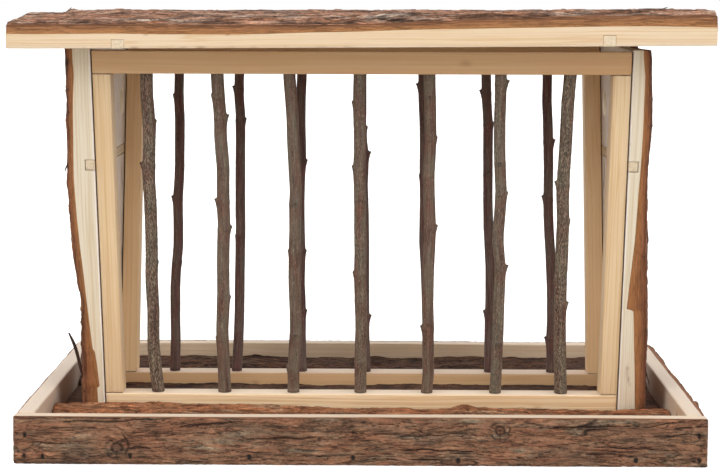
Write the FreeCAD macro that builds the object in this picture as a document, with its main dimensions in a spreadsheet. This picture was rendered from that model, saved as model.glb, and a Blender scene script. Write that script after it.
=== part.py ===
import FreeCAD, Part
import math
import os
import re
import Sketcher
from FreeCAD import Vector, Rotation, Placement

# Hay rack feeder for rabbits and other small livestock, built from bark-on slab wood: a tray
# with a slab floor, a V-shaped rack of twigs between two side panels, and a hinged roof.
# +Z is up, +X the viewer's right, -Y the front. The origin is on the floor under the middle
# of the tray. Millimetres.
#
# Sizes are written as formulas in the names of SIZES. Each formula is bound to the object it
# drives, and is also worked out as a number for that object's first state.

SIZES = {
    # tray: four slats on edge
    "tray_half_width": 190.0, "tray_half_depth": 105.0,
    "slat_thickness": 10.0, "slat_height": 26.5, "slat_bark": 2.6,
    "side_slat_inner": 179.7, "side_slat_outer": 190.0, "butt_seam_at": 60.7,
    "end_cut_reach": 2.2, "end_cut_outside": 1.0,
    # floor slabs; floor_seat is the height of the shaved flats
    "floor_gap": 0.2, "floor_half_middle": 36.0, "floor_seat": 11.0, "floor_crown": 16.2,
    "seat_inner": 150.3,
    # how far a housing cutter stands outside the wood
    "overcut": 3.0,
    # V frames; lean_slope is the outward run for each unit of height
    "frame_half_width": 150.2, "frame_thickness": 13.0, "lean_slope": 0.1945,
    "frame_outer_top": 71.2, "top_joint": 212.6, "bottom_joint": 22.9, "rail_top": 225.6,
    "stile_width": 10.0,
    # twigs and the blind holes that hold them
    "front_twig_radius": 3.45, "rear_twig_radius": 3.0,
    "front_twig_first": -119.4, "rear_twig_first": -117.0,
    "front_twig_pitch": 39.6, "rear_twig_pitch": 39.0,
    "twig_end_depth": 5.0, "twig_end_play": 0.3, "twig_clearance": 0.05,
    "twig_straight": 2.0, "drill_standoff": 2.0,
    # side panels
    "panel_inner": 150.9, "panel_thickness": 14.0, "panel_top": 227.4,
    "panel_edge_proud": 1.5, "panel_seam": 22.0, "seam_gap": 0.1,
    "panel_edge_chamfer": 2.6, "panel_seam_chamfer": 1.6,
    "panel_batten_low": 157.4, "panel_batten_high": 163.6, "panel_batten_thickness": 5.4,
    "panel_hole_radius": 8.5, "panel_hole_back": 40.0, "panel_hole_height": 190.5,
    # roof; crowns are heights above roof_under
    "roof_half_width": 190.5, "roof_half_depth": 107.0, "roof_under": 227.4,
    "roof_seam": 36.0, "roof_wood": 8.6,
    "roof_front_crown": 17.6, "roof_middle_crown": 20.6, "roof_rear_crown": 19.6,
    "roof_batten_at": 131.6, "roof_batten_width": 7.0, "roof_batten_height": 4.8,
    # hinges
    "hinge_at": 105.0, "hinge_pin_back": 76.0, "hinge_pin_height": 225.4,
    "hinge_width": 20.0, "hinge_plate": 0.8, "hinge_reach": 12.4,
    "hinge_barrel_radius": 1.9, "hinge_pin_radius": 0.9, "hinge_bore_radius": 0.95,
    "hinge_middle_width": 7.2, "hinge_side_gap": 0.1,
    "hinge_plate_clear": 0.25, "hinge_web_lap": 0.2, "hinge_web_past_pin": 0.4,
    # hinge screws; spread and reach place them on the leaf
    "screw_radius": 1.05, "screw_head_radius": 1.65, "screw_length": 8.0,
    "screw_hole_radius": 1.1, "screw_spread": 5.6, "screw_reach": 7.6,
    "screw_point_length": 2.0, "screw_point_radius": 0.2,
    "slot_length": 4.0, "slot_width": 0.45, "slot_depth": 0.35,
    # brads; brad_set is how far the heads sit below the surface
    "brad_radius": 0.7, "brad_head_radius": 1.25, "brad_head": 0.6, "brad_length": 22.0,
    "brad_set": 0.5,
}

SIDES = (("left", -1), ("right", 1))
FACES = (("front", -1), ("rear", 1))

# Twig stations, one twig a row, left to right: (fraction of the length between the joints,
# sideways offset, front-to-back offset, radius as a multiple of the twig's own).
TWIGS = {
    "front": [
        [(0.10, 0.3, 0.1, 1.02), (0.28, -0.7, 0.3, 0.98), (0.52, -0.3, -0.4, 1.0),
         (0.78, 1.1, 0.2, 1.06), (0.92, 0.8, 0.0, 1.0)],
        [(0.10, 0.2, 0.0, 1.0), (0.30, 0.9, -0.3, 0.98), (0.50, -0.6, 0.4, 1.02),
         (0.76, 1.0, 0.0, 1.05), (0.92, 0.0, 0.1, 1.0)],
        [(0.10, -0.3, 0.2, 1.0), (0.32, 0.5, 0.3, 1.06), (0.55, -0.5, -0.3, 1.0),
         (0.74, 0.6, 0.0, 0.97), (0.92, 0.2, 0.0, 1.0)],
        [(0.10, 0.1, 0.2, 1.02), (0.30, -0.8, 0.0, 1.06), (0.48, 0.7, -0.4, 0.98),
         (0.68, -0.5, 0.3, 1.05), (0.92, 0.3, 0.0, 1.0)],
        [(0.10, 0.4, 0.0, 1.0), (0.26, -0.6, 0.2, 1.05), (0.52, 0.8, 0.3, 1.06),
         (0.75, -0.3, -0.3, 0.98), (0.92, 0.2, 0.0, 1.0)],
        [(0.10, -0.2, 0.0, 1.0), (0.36, 1.0, 0.2, 1.05), (0.50, -0.6, 0.2, 1.05),
         (0.66, 0.7, -0.3, 1.0), (0.92, 0.9, 0.0, 1.03)],
        [(0.10, 0.3, 0.1, 1.04), (0.30, -0.9, 0.3, 1.03), (0.52, 0.9, -0.3, 1.0),
         (0.66, -0.6, 0.3, 1.05), (0.92, 0.2, 0.0, 1.0)],
    ],
    "rear": [
        [(0.10, 0.2, 0.0, 1.0), (0.30, -0.5, 0.3, 1.03), (0.55, 0.6, -0.2, 0.98),
         (0.76, -0.3, 0.2, 1.05), (0.92, 0.1, 0.0, 1.0)],
        [(0.10, -0.1, 0.1, 1.0), (0.28, 0.6, -0.3, 1.02), (0.50, -0.6, 0.2, 1.04),
         (0.74, 0.4, 0.1, 0.98), (0.92, 0.0, 0.0, 1.0)],
        [(0.10, 0.1, 0.1, 1.0), (0.34, -0.6, 0.1, 1.05), (0.56, 0.5, 0.3, 1.0),
         (0.72, -0.3, -0.2, 0.98), (0.92, 0.2, 0.0, 1.0)],
        [(0.10, 0.2, -0.1, 1.0), (0.30, 0.6, 0.2, 0.98), (0.52, -0.5, 0.3, 1.05),
         (0.74, 0.5, -0.1, 1.02), (0.92, 0.1, 0.0, 1.0)],
        [(0.10, -0.2, 0.1, 1.0), (0.26, 0.5, 0.2, 1.03), (0.48, -0.7, -0.2, 1.0),
         (0.72, 0.3, 0.3, 1.05), (0.92, -0.1, 0.0, 1.0)],
        [(0.10, 0.1, 0.0, 1.0), (0.32, -0.4, -0.3, 1.04), (0.50, 0.6, 0.2, 0.98),
         (0.70, -0.5, 0.2, 1.03), (0.92, 0.2, 0.0, 1.0)],
        [(0.10, 0.0, 0.1, 1.0), (0.30, 0.6, 0.2, 1.05), (0.54, -0.4, -0.3, 1.0),
         (0.76, 0.5, 0.2, 0.97), (0.92, 0.0, 0.0, 1.0)],
    ],
}

# Bark of the front and rear slats: hollow below the top, at mid-height and at the foot.
SLAT_HOLLOWS = {"front": (1.0, 0.3, 1.2), "rear": (1.2, 0.5, 1.4)}

# Bark of the outer floor slabs: (distance out from the inner edge, height from floor_crown),
# then the height from floor_crown at the outer edge.
FLOOR_BARK = {
    "front": ([(0, -2.6), (4, -0.4), (14, 0.6), (27, -0.4), (40, -2.4), (51, -5.0)], -7.6),
    "rear": ([(0, -4.0), (8, -1.8), (20, 0.0), (34, 0.3), (48, -2.0)], -5.4),
}

# Roof slabs: front edge, rear edge, height of each edge's sawn face above roof_wood, and the
# place of the crown as a fraction of the slab's width from its front edge.
ROOF_SLABS = {
    "front": ("-roof_half_depth", "-roof_seam-seam_gap/2", 4.6, 4.0, 0.58),
    "middle": ("-roof_seam+seam_gap/2", "roof_seam-seam_gap/2", 4.4, 4.6, 0.46),
    "rear": ("roof_seam+seam_gap/2", "roof_half_depth", 4.0, 4.6, 0.45),
}

# Brad places
CORNER_BRAD_HEIGHTS = (4.6, 16.6)
FLOOR_EDGE_BRADS = (          # (x, z) along the front and rear slats
    (-173.6, 4.4), (-125.7, 4.8), (-60.3, 4.4), (-3.7, 4.4), (53.7, 3.4), (150.7, 3.8))
FRAME_BASE_BRADS_X = (-98.0, 19.0, 98.0)
PANEL_SIDE_BRADS_Z = (52.0, 118.0, 196.0)
PANEL_BASE_BRADS_Y = (-27.5, 0.0, 27.5)
PANEL_BATTEN_BRADS_Y = (-44.0, -11.0, 11.0, 36.0)
ROOF_BATTEN_BRADS_Y = (-88.0, -56.0, -18.0, 18.0, 56.0, 90.0)

# Brad lengths other than brad_length
TOP_RAIL_BRAD = 26.0
BOTTOM_RAIL_BRAD = 24.0
FRAME_BASE_BRAD = 20.0
PANEL_SIDE_BRAD = 21.0
PANEL_BASE_BRAD = 28.0
BATTEN_BRAD = 11.0

doc = FreeCAD.newDocument("HayRackFeeder")
sheet = doc.addObject("Spreadsheet::Sheet", "Dimensions")
for row, (alias, size) in enumerate(SIZES.items(), start=1):
    sheet.set(f"A{row}", alias)
    sheet.set(f"B{row}", str(size))
    sheet.setAlias(f"B{row}", alias)
doc.recompute()

nodes = []          # the objects that are exported


# --------------------------------------------------------------------------- formulas
ALIAS = re.compile(r"[a-z][a-z_]+")


def value(formula):
    """A formula in sheet names as a number: + - * / and brackets."""
    plain = ALIAS.sub(lambda found: repr(SIZES[found.group()]), formula)
    tokens = re.findall(r"\d+\.?\d*|[()+*/-]", plain)

    def factor():
        token = tokens.pop(0)
        if token == "(":
            inside = total()
            tokens.pop(0)
            return inside
        if token == "-":
            return -factor()
        if token == "+":
            return factor()
        return float(token)

    def product():
        result = factor()
        while tokens and tokens[0] in "*/":
            if tokens.pop(0) == "*":
                result *= factor()
            else:
                result /= factor()
        return result

    def total():
        result = product()
        while tokens and tokens[0] in "+-":
            if tokens.pop(0) == "+":
                result += product()
            else:
                result -= product()
        return result

    return total()


def bind(obj, prop, formula):
    obj.setExpression(prop, ALIAS.sub(lambda found: "Dimensions." + found.group(), formula))


def put(obj, rotation, x, y, z, prop="Placement"):
    """Turns an object and binds its position to three formulas."""
    setattr(obj, prop, Placement(Vector(value(x), value(y), value(z)), rotation))
    for axis, formula in zip("xyz", (x, y, z)):
        bind(obj, f"{prop}.Base.{axis}", formula)


def signed(sign, formula):
    return f"-({formula})" if sign < 0 else f"({formula})"


def outward_start(sign, inner, thickness):
    """Lowest x of a piece that runs from inner outwards on one side."""
    return inner if sign > 0 else f"-({inner})-{thickness}"


def frame_y(z, sign, inset="0"):
    """y on a V frame at height z; inset is measured inwards from the outer face."""
    return signed(sign, f"frame_outer_top-(top_joint-({z}))*lean_slope-({inset})")


def frame_middle_y(z, sign):
    return frame_y(z, sign, "frame_thickness/2")


def panel_edge_y(z, sign):
    return frame_y(z, sign, "-panel_edge_proud")


lean = math.degrees(math.atan(SIZES["lean_slope"]))
lean_cos = math.cos(math.radians(lean))
lean_sin = math.sin(math.radians(lean))

# distance from the hinge pin to the wood under each leaf
rail_gap = (SIZES["hinge_pin_back"] - value(frame_y("hinge_pin_height", 1))) * lean_cos
roof_gap = SIZES["roof_under"] - SIZES["hinge_pin_height"]


# --------------------------------------------------------------------------- modelling helpers
def new_body(label):
    body = doc.addObject("PartDesign::Body", label)
    nodes.append(body)
    return body


def new_sketch(body, role, name, lift="0"):
    """Sketch on an origin plane, lifted along its normal: +X, +Z, or -Y for XZ_Plane."""
    sketch = body.newObject("Sketcher::SketchObject", name)
    plane = [f for f in body.Origin.OriginFeatures if f.Role == role][0]
    sketch.AttachmentSupport = [(plane, "")]
    sketch.MapMode = "FlatFace"
    if lift != "0":
        put(sketch, Rotation(), "0", "0", lift, "AttachmentOffset")
    return sketch


def pin_point(sketch, geometry, point, x, y):
    """Holds one sketch point at two formulas, measured from the sketch's origin."""
    for kind, formula, axis in (("DistanceX", x, -2), ("DistanceY", y, -1)):
        distance = value(formula)
        if abs(distance) < 1e-9:
            sketch.addConstraint(Sketcher.Constraint("PointOnObject", geometry, point, axis))
        else:
            index = sketch.addConstraint(
                Sketcher.Constraint(kind, -1, 1, geometry, point, distance))
            bind(sketch, f"Constraints[{index}]", formula)


def polygon(sketch, points):
    corners = [Vector(value(x), value(y), 0) for x, y in points]
    count = len(points)
    base = sketch.GeometryCount
    for i in range(count):
        sketch.addGeometry(Part.LineSegment(corners[i], corners[(i + 1) % count]), False)
    for i in range(count):
        sketch.addConstraint(
            Sketcher.Constraint("Coincident", base + i, 2, base + (i + 1) % count, 1))
    for i, (x, y) in enumerate(points):
        pin_point(sketch, base + i, 1, x, y)


def rectangle(left, right, low, high):
    return [(left, low), (right, low), (right, high), (left, high)]


def circle(sketch, x, y, radius):
    base = sketch.GeometryCount
    centre = Vector(value(x), value(y), 0)
    sketch.addGeometry(Part.Circle(centre, Vector(0, 0, 1), value(radius)), False)
    pin_point(sketch, base, 3, x, y)
    index = sketch.addConstraint(Sketcher.Constraint("Radius", base, value(radius)))
    bind(sketch, f"Constraints[{index}]", radius)


def pad(body, sketch, length, centred=False, name="Pad"):
    feature = body.newObject("PartDesign::Pad", name)
    feature.Profile = sketch
    feature.Length = value(length)
    bind(feature, "Length", length)
    if centred:
        feature.SideType = "Symmetric"
    doc.recompute()


def cut(body, sketch, name, depth=None, along_normal=False):
    """Pocket through everything both ways, or to a depth on one side of the sketch."""
    before = body.Shape.Volume
    feature = body.newObject("PartDesign::Pocket", name)
    feature.Profile = sketch
    if depth is None:
        feature.Type = "ThroughAll"
        feature.SideType = "Symmetric"
    else:
        feature.Length = value(depth)
        bind(feature, "Length", depth)
        feature.Reversed = along_normal
    doc.recompute()
    if not body.Shape.Volume < before - 1e-6:
        raise RuntimeError(f"pocket {name} of {body.Label} removed nothing")


def chamfer(body, edge_names, size, name):
    if not edge_names:
        raise RuntimeError(f"no edge for {name} on {body.Label}")
    base = body.Tip
    feature = body.newObject("PartDesign::Chamfer", name)
    feature.Base = (base, edge_names)
    feature.Size = value(size)
    bind(feature, "Size", size)
    doc.recompute()


def prism(label, role, points, length, start=None):
    """Body padded from one outline: from start along the normal, or centred without one."""
    body = new_body(label)
    sketch = new_sketch(body, role, label + "_outline", start or "0")
    polygon(sketch, points)
    pad(body, sketch, length, centred=start is None)
    return body


# --------------------------------------------------------------------------- tray
def long_slat(where, sign):
    """Full-width slat on edge, bark outwards, covering the side slats' ends."""
    below_top, middle, foot = SLAT_HOLLOWS[where]
    outline = [           # (inset from the outer face, height)
        ("slat_thickness", "0"), ("slat_thickness", "slat_height"),
        ("slat_bark", "slat_height"), (below_top, "slat_height-1.8"),
        ("0", "slat_height*0.66"), (middle, "slat_height*0.4"),
        ("0", "slat_height*0.22"), (foot, "0")]
    label = f"tray_{where}_slat"
    body = prism(label, "YZ_Plane",
                 [(signed(sign, f"tray_half_depth-{inset}"), z) for inset, z in outline],
                 "2*tray_half_width")
    # slanting cuts pare the bark back at both outer corners
    sketch = new_sketch(body, "XY_Plane", label + "_end_cuts")
    outside_y = signed(sign, "tray_half_depth+end_cut_outside")
    for _, end in SIDES:
        outside_x = signed(end, "tray_half_width+end_cut_outside")
        polygon(sketch, [(signed(end, "tray_half_width-end_cut_reach"), outside_y),
                         (outside_x, signed(sign, "tray_half_depth-end_cut_reach")),
                         (outside_x, outside_y)])
    cut(body, sketch, "end_cuts")


def side_slat_outline(sign):
    bark = [              # (inset from the outer face, height)
        ("slat_bark", "slat_height-0.3"), (0.9, "slat_height-2.4"),
        ("0", "slat_height*0.6"), (0.5, "slat_height*0.3"), (1.1, "0")]
    inner = signed(sign, "side_slat_inner")
    return ([(inner, "0"), (inner, "slat_height-0.3")]
            + [(signed(sign, f"side_slat_outer-{inset}"), z) for inset, z in bark])


def build_tray():
    for where, sign in FACES:
        long_slat(where, sign)
    end = "(tray_half_depth-slat_thickness)"
    prism("tray_left_slat", "XZ_Plane", side_slat_outline(-1), f"2*{end}")
    # the right side slat is a long and a short length, butted near the front
    prism("tray_right_slat", "XZ_Plane", side_slat_outline(1),
          f"{end}+butt_seam_at-floor_gap/2", start="-" + end)
    prism("tray_right_front_slat", "XZ_Plane", side_slat_outline(1),
          f"{end}-butt_seam_at-floor_gap/2", start="butt_seam_at+floor_gap/2")


# --------------------------------------------------------------------------- floor
FLOOR_LENGTH = "2*(side_slat_inner-floor_gap)"


def outer_floor_slab(where, sign):
    bark, outer_rise = FLOOR_BARK[where]
    inner = "floor_half_middle+floor_gap"
    outer = signed(sign, "tray_half_depth-slat_thickness-floor_gap/2")
    prism(f"floor_{where}_slab", "YZ_Plane",
          [(outer, "0"), (signed(sign, inner), "0")]
          + [(signed(sign, f"{inner}+{out}"), f"floor_crown{rise:+}") for out, rise in bark]
          + [(outer, f"floor_crown{outer_rise:+}")],
          FLOOR_LENGTH)


def middle_floor_slab():
    """Its bark is shaved flat under the frames and the panels, which stand on it."""
    body = prism(
        "floor_middle_slab", "YZ_Plane",
        [("-floor_half_middle", "0"), ("floor_half_middle", "0"),
         ("floor_half_middle", "floor_seat"), ("floor_half_middle/2", "floor_seat"),
         ("floor_half_middle/2-3.5", "floor_crown-1.6"), ("5", "floor_crown"),
         ("-6", "floor_crown-0.4"), ("-floor_half_middle/2+3.5", "floor_crown-1.9"),
         ("-floor_half_middle/2", "floor_seat"), ("-floor_half_middle", "floor_seat")],
        FLOOR_LENGTH)
    for side, sign in SIDES:
        sketch = new_sketch(body, "XZ_Plane", "panel_seat_" + side)
        polygon(sketch, rectangle(signed(sign, "seat_inner"),
                                  signed(sign, "side_slat_inner+overcut"),
                                  "floor_seat", "floor_crown+overcut"))
        cut(body, sketch, "seat_" + side)


def build_floor():
    for where, sign in FACES:
        outer_floor_slab(where, sign)
    middle_floor_slab()


# --------------------------------------------------------------------------- V frames
def twig_x(where, index):
    return f"{where}_twig_first+{index}*{where}_twig_pitch"


def frame_strip(label, sign, low, high, length, start=None):
    """Sawn strip of a frame; its edges are level and its faces lean outwards upwards."""
    return prism(label, "YZ_Plane",
                 [(frame_y(low, sign), low), (frame_y(high, sign), high),
                  (frame_y(high, sign, "frame_thickness"), high),
                  (frame_y(low, sign, "frame_thickness"), low)],
                 length, start)


def drill_twig_holes(body, where, sign, edge_height, opens_up):
    """Blind holes for the twigs, bored along the frame's lean from one edge of a rail."""
    sketch = new_sketch(body, "XY_Plane", body.Label + "_holes")
    rotation = Rotation(Vector(1, 0, 0), -sign * lean)
    # the sketch stands clear of the rail's edge, so that the slanting mouths open fully
    clear = SIZES["drill_standoff"] * (1 if opens_up else -1)
    offset = rotation.multVec(Vector(0, 0, clear))
    put(sketch, rotation, "0",
        f"{frame_middle_y(edge_height, sign)}{offset.y:+.6f}",
        f"{edge_height}{offset.z:+.6f}", "AttachmentOffset")
    for i in range(len(TWIGS[where])):
        circle(sketch, twig_x(where, i), "0", f"{where}_twig_radius+twig_clearance")
    cut(body, sketch, body.Label + "_bores",
        depth="drill_standoff+twig_end_depth+twig_end_play", along_normal=not opens_up)


def build_frame(where, sign):
    """Two rails with two stiles butted between them."""
    top = frame_strip(where + "_top_rail", sign, "top_joint", "rail_top", "2*frame_half_width")
    drill_twig_holes(top, where, sign, "top_joint", opens_up=False)
    bottom = frame_strip(where + "_bottom_rail", sign, "floor_seat", "bottom_joint",
                         "2*frame_half_width")
    drill_twig_holes(bottom, where, sign, "bottom_joint", opens_up=True)
    for side, end in SIDES:
        frame_strip(f"{where}_{side}_stile", sign, "bottom_joint", "top_joint", "stile_width",
                    outward_start(end, "frame_half_width-stile_width", "stile_width"))


# --------------------------------------------------------------------------- twigs
def twig_end(body, radius, start, name):
    """Straight end, partly in the rail's hole."""
    sketch = new_sketch(body, "XY_Plane", f"{body.Label}_{name}", start)
    circle(sketch, "0", "0", radius)
    pad(body, sketch, "twig_end_depth+twig_straight", name=f"{body.Label}_{name}_end")


def build_twig(where, sign, index, stations):
    """Bark-on twig that wanders from its axis and swells; its own +Z runs up its length."""
    body = new_body(f"{where}_twig_{index + 1}")
    radius = where + "_twig_radius"
    length = f"(top_joint-bottom_joint)*{math.sqrt(1 + SIZES['lean_slope'] ** 2):.9f}"
    twig_end(body, radius, "-twig_end_depth", "foot")

    rings = [("twig_straight", "0", "0", radius)]
    for fraction, sideways, back, swell in stations:
        rings.append((f"{length}*{fraction:.2f}", f"{sideways:.2f}", f"{back:.2f}",
                      f"{radius}*{swell:.2f}"))
    rings.append((f"{length}-twig_straight", "0", "0", radius))
    sections = []
    for i, (z, x, y, ring_radius) in enumerate(rings):
        ring = new_sketch(body, "XY_Plane", f"{body.Label}_ring_{i}", z)
        circle(ring, x, y, ring_radius)
        sections.append(ring)
    doc.recompute()
    loft = body.newObject("PartDesign::AdditiveLoft", body.Label + "_length")
    loft.Profile = sections[0]
    loft.Sections = sections[1:]
    loft.Ruled = False
    doc.recompute()

    twig_end(body, radius, f"{length}-twig_straight", "head")
    put(body, Rotation(Vector(1, 0, 0), -sign * lean),
        twig_x(where, index), frame_middle_y("bottom_joint", sign), "bottom_joint")


# --------------------------------------------------------------------------- side panels
def tall_bark_edges(body, leaning):
    """Names of the tall edges on a panel slab's outer face, either leaning or plumb."""
    outer = value("panel_inner+panel_thickness")
    names = []
    for i, edge in enumerate(body.Tip.Shape.Edges, start=1):
        ends = [vertex.Point for vertex in edge.Vertexes]
        if len(ends) != 2 or any(abs(abs(end.x) - outer) > 1e-6 for end in ends):
            continue
        run = ends[0] - ends[1]
        if abs(run.z) > 100 and (abs(run.y) > 10) == leaning:
            names.append(f"Edge{i}")
    return names


def panel_slab(side, sign, place):
    """Upright slab, bark outwards; the panel narrows towards the floor with the frames."""
    seam = "panel_seam+seam_gap"
    low_front, low_rear, top_rear, top_front = {
        "front": (panel_edge_y("floor_seat", -1), f"-({seam})",
                  f"-({seam})", panel_edge_y("panel_top", -1)),
        "middle": ("-panel_seam", "panel_seam", "panel_seam", "-panel_seam"),
        "rear": (seam, panel_edge_y("floor_seat", 1),
                 panel_edge_y("panel_top", 1), seam),
    }[place]
    label = f"{side}_panel_{place}_slab"
    body = prism(label, "YZ_Plane",
                 [(low_front, "floor_seat"), (low_rear, "floor_seat"),
                  (top_rear, "panel_top"), (top_front, "panel_top")],
                 "panel_thickness", outward_start(sign, "panel_inner", "panel_thickness"))
    if place != "middle":
        chamfer(body, tall_bark_edges(body, leaning=True), "panel_edge_chamfer", "waney_edge")
    chamfer(body, tall_bark_edges(body, leaning=False), "panel_seam_chamfer", "seam_edge")

    sketch = new_sketch(body, "XZ_Plane", label + "_housing")
    polygon(sketch, rectangle(signed(sign, "panel_inner-overcut"),
                              signed(sign, "panel_inner+panel_batten_thickness"),
                              "panel_batten_low", "panel_batten_high"))
    cut(body, sketch, "batten_housing")
    if place == "rear":
        sketch = new_sketch(body, "YZ_Plane", label + "_hole")
        circle(sketch, "panel_hole_back", "panel_hole_height", "panel_hole_radius")
        cut(body, sketch, "round_hole")


def build_panel(side, sign):
    """Three slabs tied by a batten let in flush across the inner face."""
    for place in ("front", "middle", "rear"):
        panel_slab(side, sign, place)
    low, high = "panel_batten_low", "panel_batten_high"
    prism(f"{side}_panel_batten", "YZ_Plane",
          [(panel_edge_y(low, -1), low), (panel_edge_y(low, 1), low),
           (panel_edge_y(high, 1), high), (panel_edge_y(high, -1), high)],
          "panel_batten_thickness",
          outward_start(sign, "panel_inner", "panel_batten_thickness"))


# --------------------------------------------------------------------------- roof
def roof_batten_outline(sign, bottom):
    return rectangle(signed(sign, "roof_batten_at-roof_batten_width/2"),
                     signed(sign, "roof_batten_at+roof_batten_width/2"),
                     bottom, "roof_under+roof_batten_height")


def roof_slab(place):
    """Slab running left to right: sawn underside and edges, bark up to a crown."""
    front, rear, front_rise, rear_rise, peak = ROOF_SLABS[place]
    width = f"(({rear})-({front}))"
    top = f"(roof_under+roof_{place}_crown)"
    front_top = f"(roof_under+roof_wood+{front_rise})"
    rear_top = f"(roof_under+roof_wood+{rear_rise})"
    label = f"roof_{place}_slab"
    body = prism(label, "YZ_Plane",
                 [(front, "roof_under"), (rear, "roof_under"), (rear, rear_top),
                  (f"{rear}-{width}*0.05", f"{rear_top}+({top}-{rear_top})*0.55"),
                  (f"{rear}-{width}*0.18", f"{top}-2.2"),
                  (f"{front}+{width}*{peak}", top),
                  (f"{front}+{width}*0.20", f"{top}-0.8"),
                  (f"{front}+{width}*0.06", f"{front_top}+({top}-{front_top})*0.5"),
                  (front, front_top)],
                 "2*roof_half_width")
    for side, sign in SIDES:
        sketch = new_sketch(body, "XZ_Plane", f"{label}_{side}_housing")
        polygon(sketch, roof_batten_outline(sign, "roof_under-overcut"))
        cut(body, sketch, "housing_" + side)


def build_roof():
    """Three slabs tied by two battens let in flush across the underside."""
    for place in ROOF_SLABS:
        roof_slab(place)
    for side, sign in SIDES:
        prism(f"roof_{side}_batten", "XZ_Plane", roof_batten_outline(sign, "roof_under"),
              "2*roof_half_depth")


# --------------------------------------------------------------------------- hinges
def hinge_leaf(label, gap, barrels, sign, rotation):
    """Leaf with its pin on its own X axis and its plate running out along +Y.

    gap is the distance from the pin to the plate's wood face; barrels lists the start and
    length of each of the leaf's barrel pieces.
    """
    body = new_body(label)
    wood_face = f"{gap:.4f}"
    open_face = f"{wood_face}-hinge_plate"
    plate_edge = "hinge_barrel_radius+hinge_plate_clear"
    sketch = new_sketch(body, "YZ_Plane", label + "_plate")
    polygon(sketch, rectangle(plate_edge, "hinge_reach", open_face, wood_face))
    pad(body, sketch, "hinge_width", centred=True, name="plate")
    for i, (start, length) in enumerate(barrels):
        # the web joins the barrel to the plate
        sketch = new_sketch(body, "YZ_Plane", f"{label}_web_{i}", start)
        polygon(sketch, rectangle("-hinge_web_past_pin", plate_edge + "+hinge_web_lap",
                                  open_face, wood_face))
        pad(body, sketch, length, name=f"web_{i}")
        sketch = new_sketch(body, "YZ_Plane", f"{label}_barrel_{i}", start)
        circle(sketch, "0", "0", "hinge_barrel_radius")
        pad(body, sketch, length, name=f"barrel_{i}")
    sketch = new_sketch(body, "YZ_Plane", label + "_bore")
    circle(sketch, "0", "0", "hinge_bore_radius")
    cut(body, sketch, "bore")
    for i, end in enumerate((-1, 1)):
        sketch = new_sketch(body, "XY_Plane", f"{label}_screw_hole_{i}")
        circle(sketch, signed(end, "screw_spread"), "screw_reach", "screw_hole_radius")
        cut(body, sketch, f"screw_hole_{i}")

    rims = [f"Edge{i}" for i, edge in enumerate(body.Tip.Shape.Edges, start=1)
            if len(edge.Vertexes) == 1
            and abs(edge.Curve.Radius - SIZES["screw_hole_radius"]) < 1e-6
            and abs(edge.Vertexes[0].Z - value(open_face)) < 1e-6]
    chamfer(body, rims, "screw_head_radius-screw_radius", "countersink")
    put(body, rotation, signed(sign, "hinge_at"), "hinge_pin_back", "hinge_pin_height")


def solid(kind, name, **formulas):
    """Part primitive with its properties bound to formulas."""
    obj = doc.addObject(kind, name)
    for prop, formula in formulas.items():
        bind(obj, prop, formula)
    return obj


def build_hinge(side, sign):
    """One leaf down the rear rail's back face, one back under the roof, and the pin."""
    outer_length = "(hinge_width-hinge_middle_width)/2-hinge_side_gap"
    hinge_leaf(f"{side}_hinge_rail_leaf", rail_gap,
               [("-hinge_width/2", outer_length),
                ("hinge_middle_width/2+hinge_side_gap", outer_length)],
               sign, Rotation(Vector(0, 0, 1), 180) * Rotation(Vector(1, 0, 0), lean - 90))
    hinge_leaf(f"{side}_hinge_roof_leaf", roof_gap,
               [("-hinge_middle_width/2", "hinge_middle_width")], sign, Rotation())
    pin = solid("Part::Cylinder", f"{side}_hinge_pin",
                Radius="hinge_pin_radius", Height="hinge_width")
    put(pin, Rotation(Vector(0, 1, 0), 90), signed(sign, "hinge_at") + "-hinge_width/2",
        "hinge_pin_back", "hinge_pin_height")
    nodes.append(pin)


# --------------------------------------------------------------------------- fasteners
# Each fastener's own +Z points into the wood, with its head at the origin.
def make_screw():
    """Countersunk slotted screw."""
    head = solid("Part::Cone", "screw_head_cone", Radius1="screw_head_radius",
                 Radius2="screw_radius", Height="screw_head_radius-screw_radius")
    shank = solid("Part::Cylinder", "screw_shank", Radius="screw_radius",
                  Height="screw_length-screw_point_length")
    point = solid("Part::Cone", "screw_point", Radius1="screw_radius",
                  Radius2="screw_point_radius", Height="screw_point_length")
    bind(point, "Placement.Base.z", "screw_length-screw_point_length")
    blank = doc.addObject("Part::MultiFuse", "screw_blank")
    blank.Shapes = [head, shank, point]
    slot = solid("Part::Box", "screw_slot", Length="slot_length", Width="slot_width",
                 Height="slot_depth")
    # a hair above the head, so that the faces do not coincide
    put(slot, Rotation(), "-slot_length/2", "-slot_width/2", "-0.0001")
    screw = doc.addObject("Part::Cut", "screw_master")
    screw.Base = blank
    screw.Tool = slot
    doc.recompute()
    return screw.Shape


def make_brad():
    brad = doc.addObject("Part::Fuse", "brad_master")
    brad.Base = solid("Part::Cylinder", "brad_head_disc", Radius="brad_head_radius",
                      Height="brad_head")
    brad.Tool = solid("Part::Cylinder", "brad_shank", Radius="brad_radius",
                      Height="brad_length")
    doc.recompute()
    return brad.Shape


def brad_of(length):
    """The same head on a shank of another length."""
    disc = Part.makeCylinder(SIZES["brad_head_radius"], SIZES["brad_head"])
    return disc.fuse(Part.makeCylinder(SIZES["brad_radius"], length))


def fasten(label, places):
    """One node with a copy of a fastener at each (shape, position, direction into wood)."""
    copies = []
    for shape, position, into in places:
        piece = shape.copy()
        piece.Placement = Placement(Vector(*position),
                                    Rotation(Vector(0, 0, 1), Vector(*into)))
        copies.append(piece)
    node = doc.addObject("Part::Feature", label)
    node.Shape = Part.makeCompound(copies)
    nodes.append(node)


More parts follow.
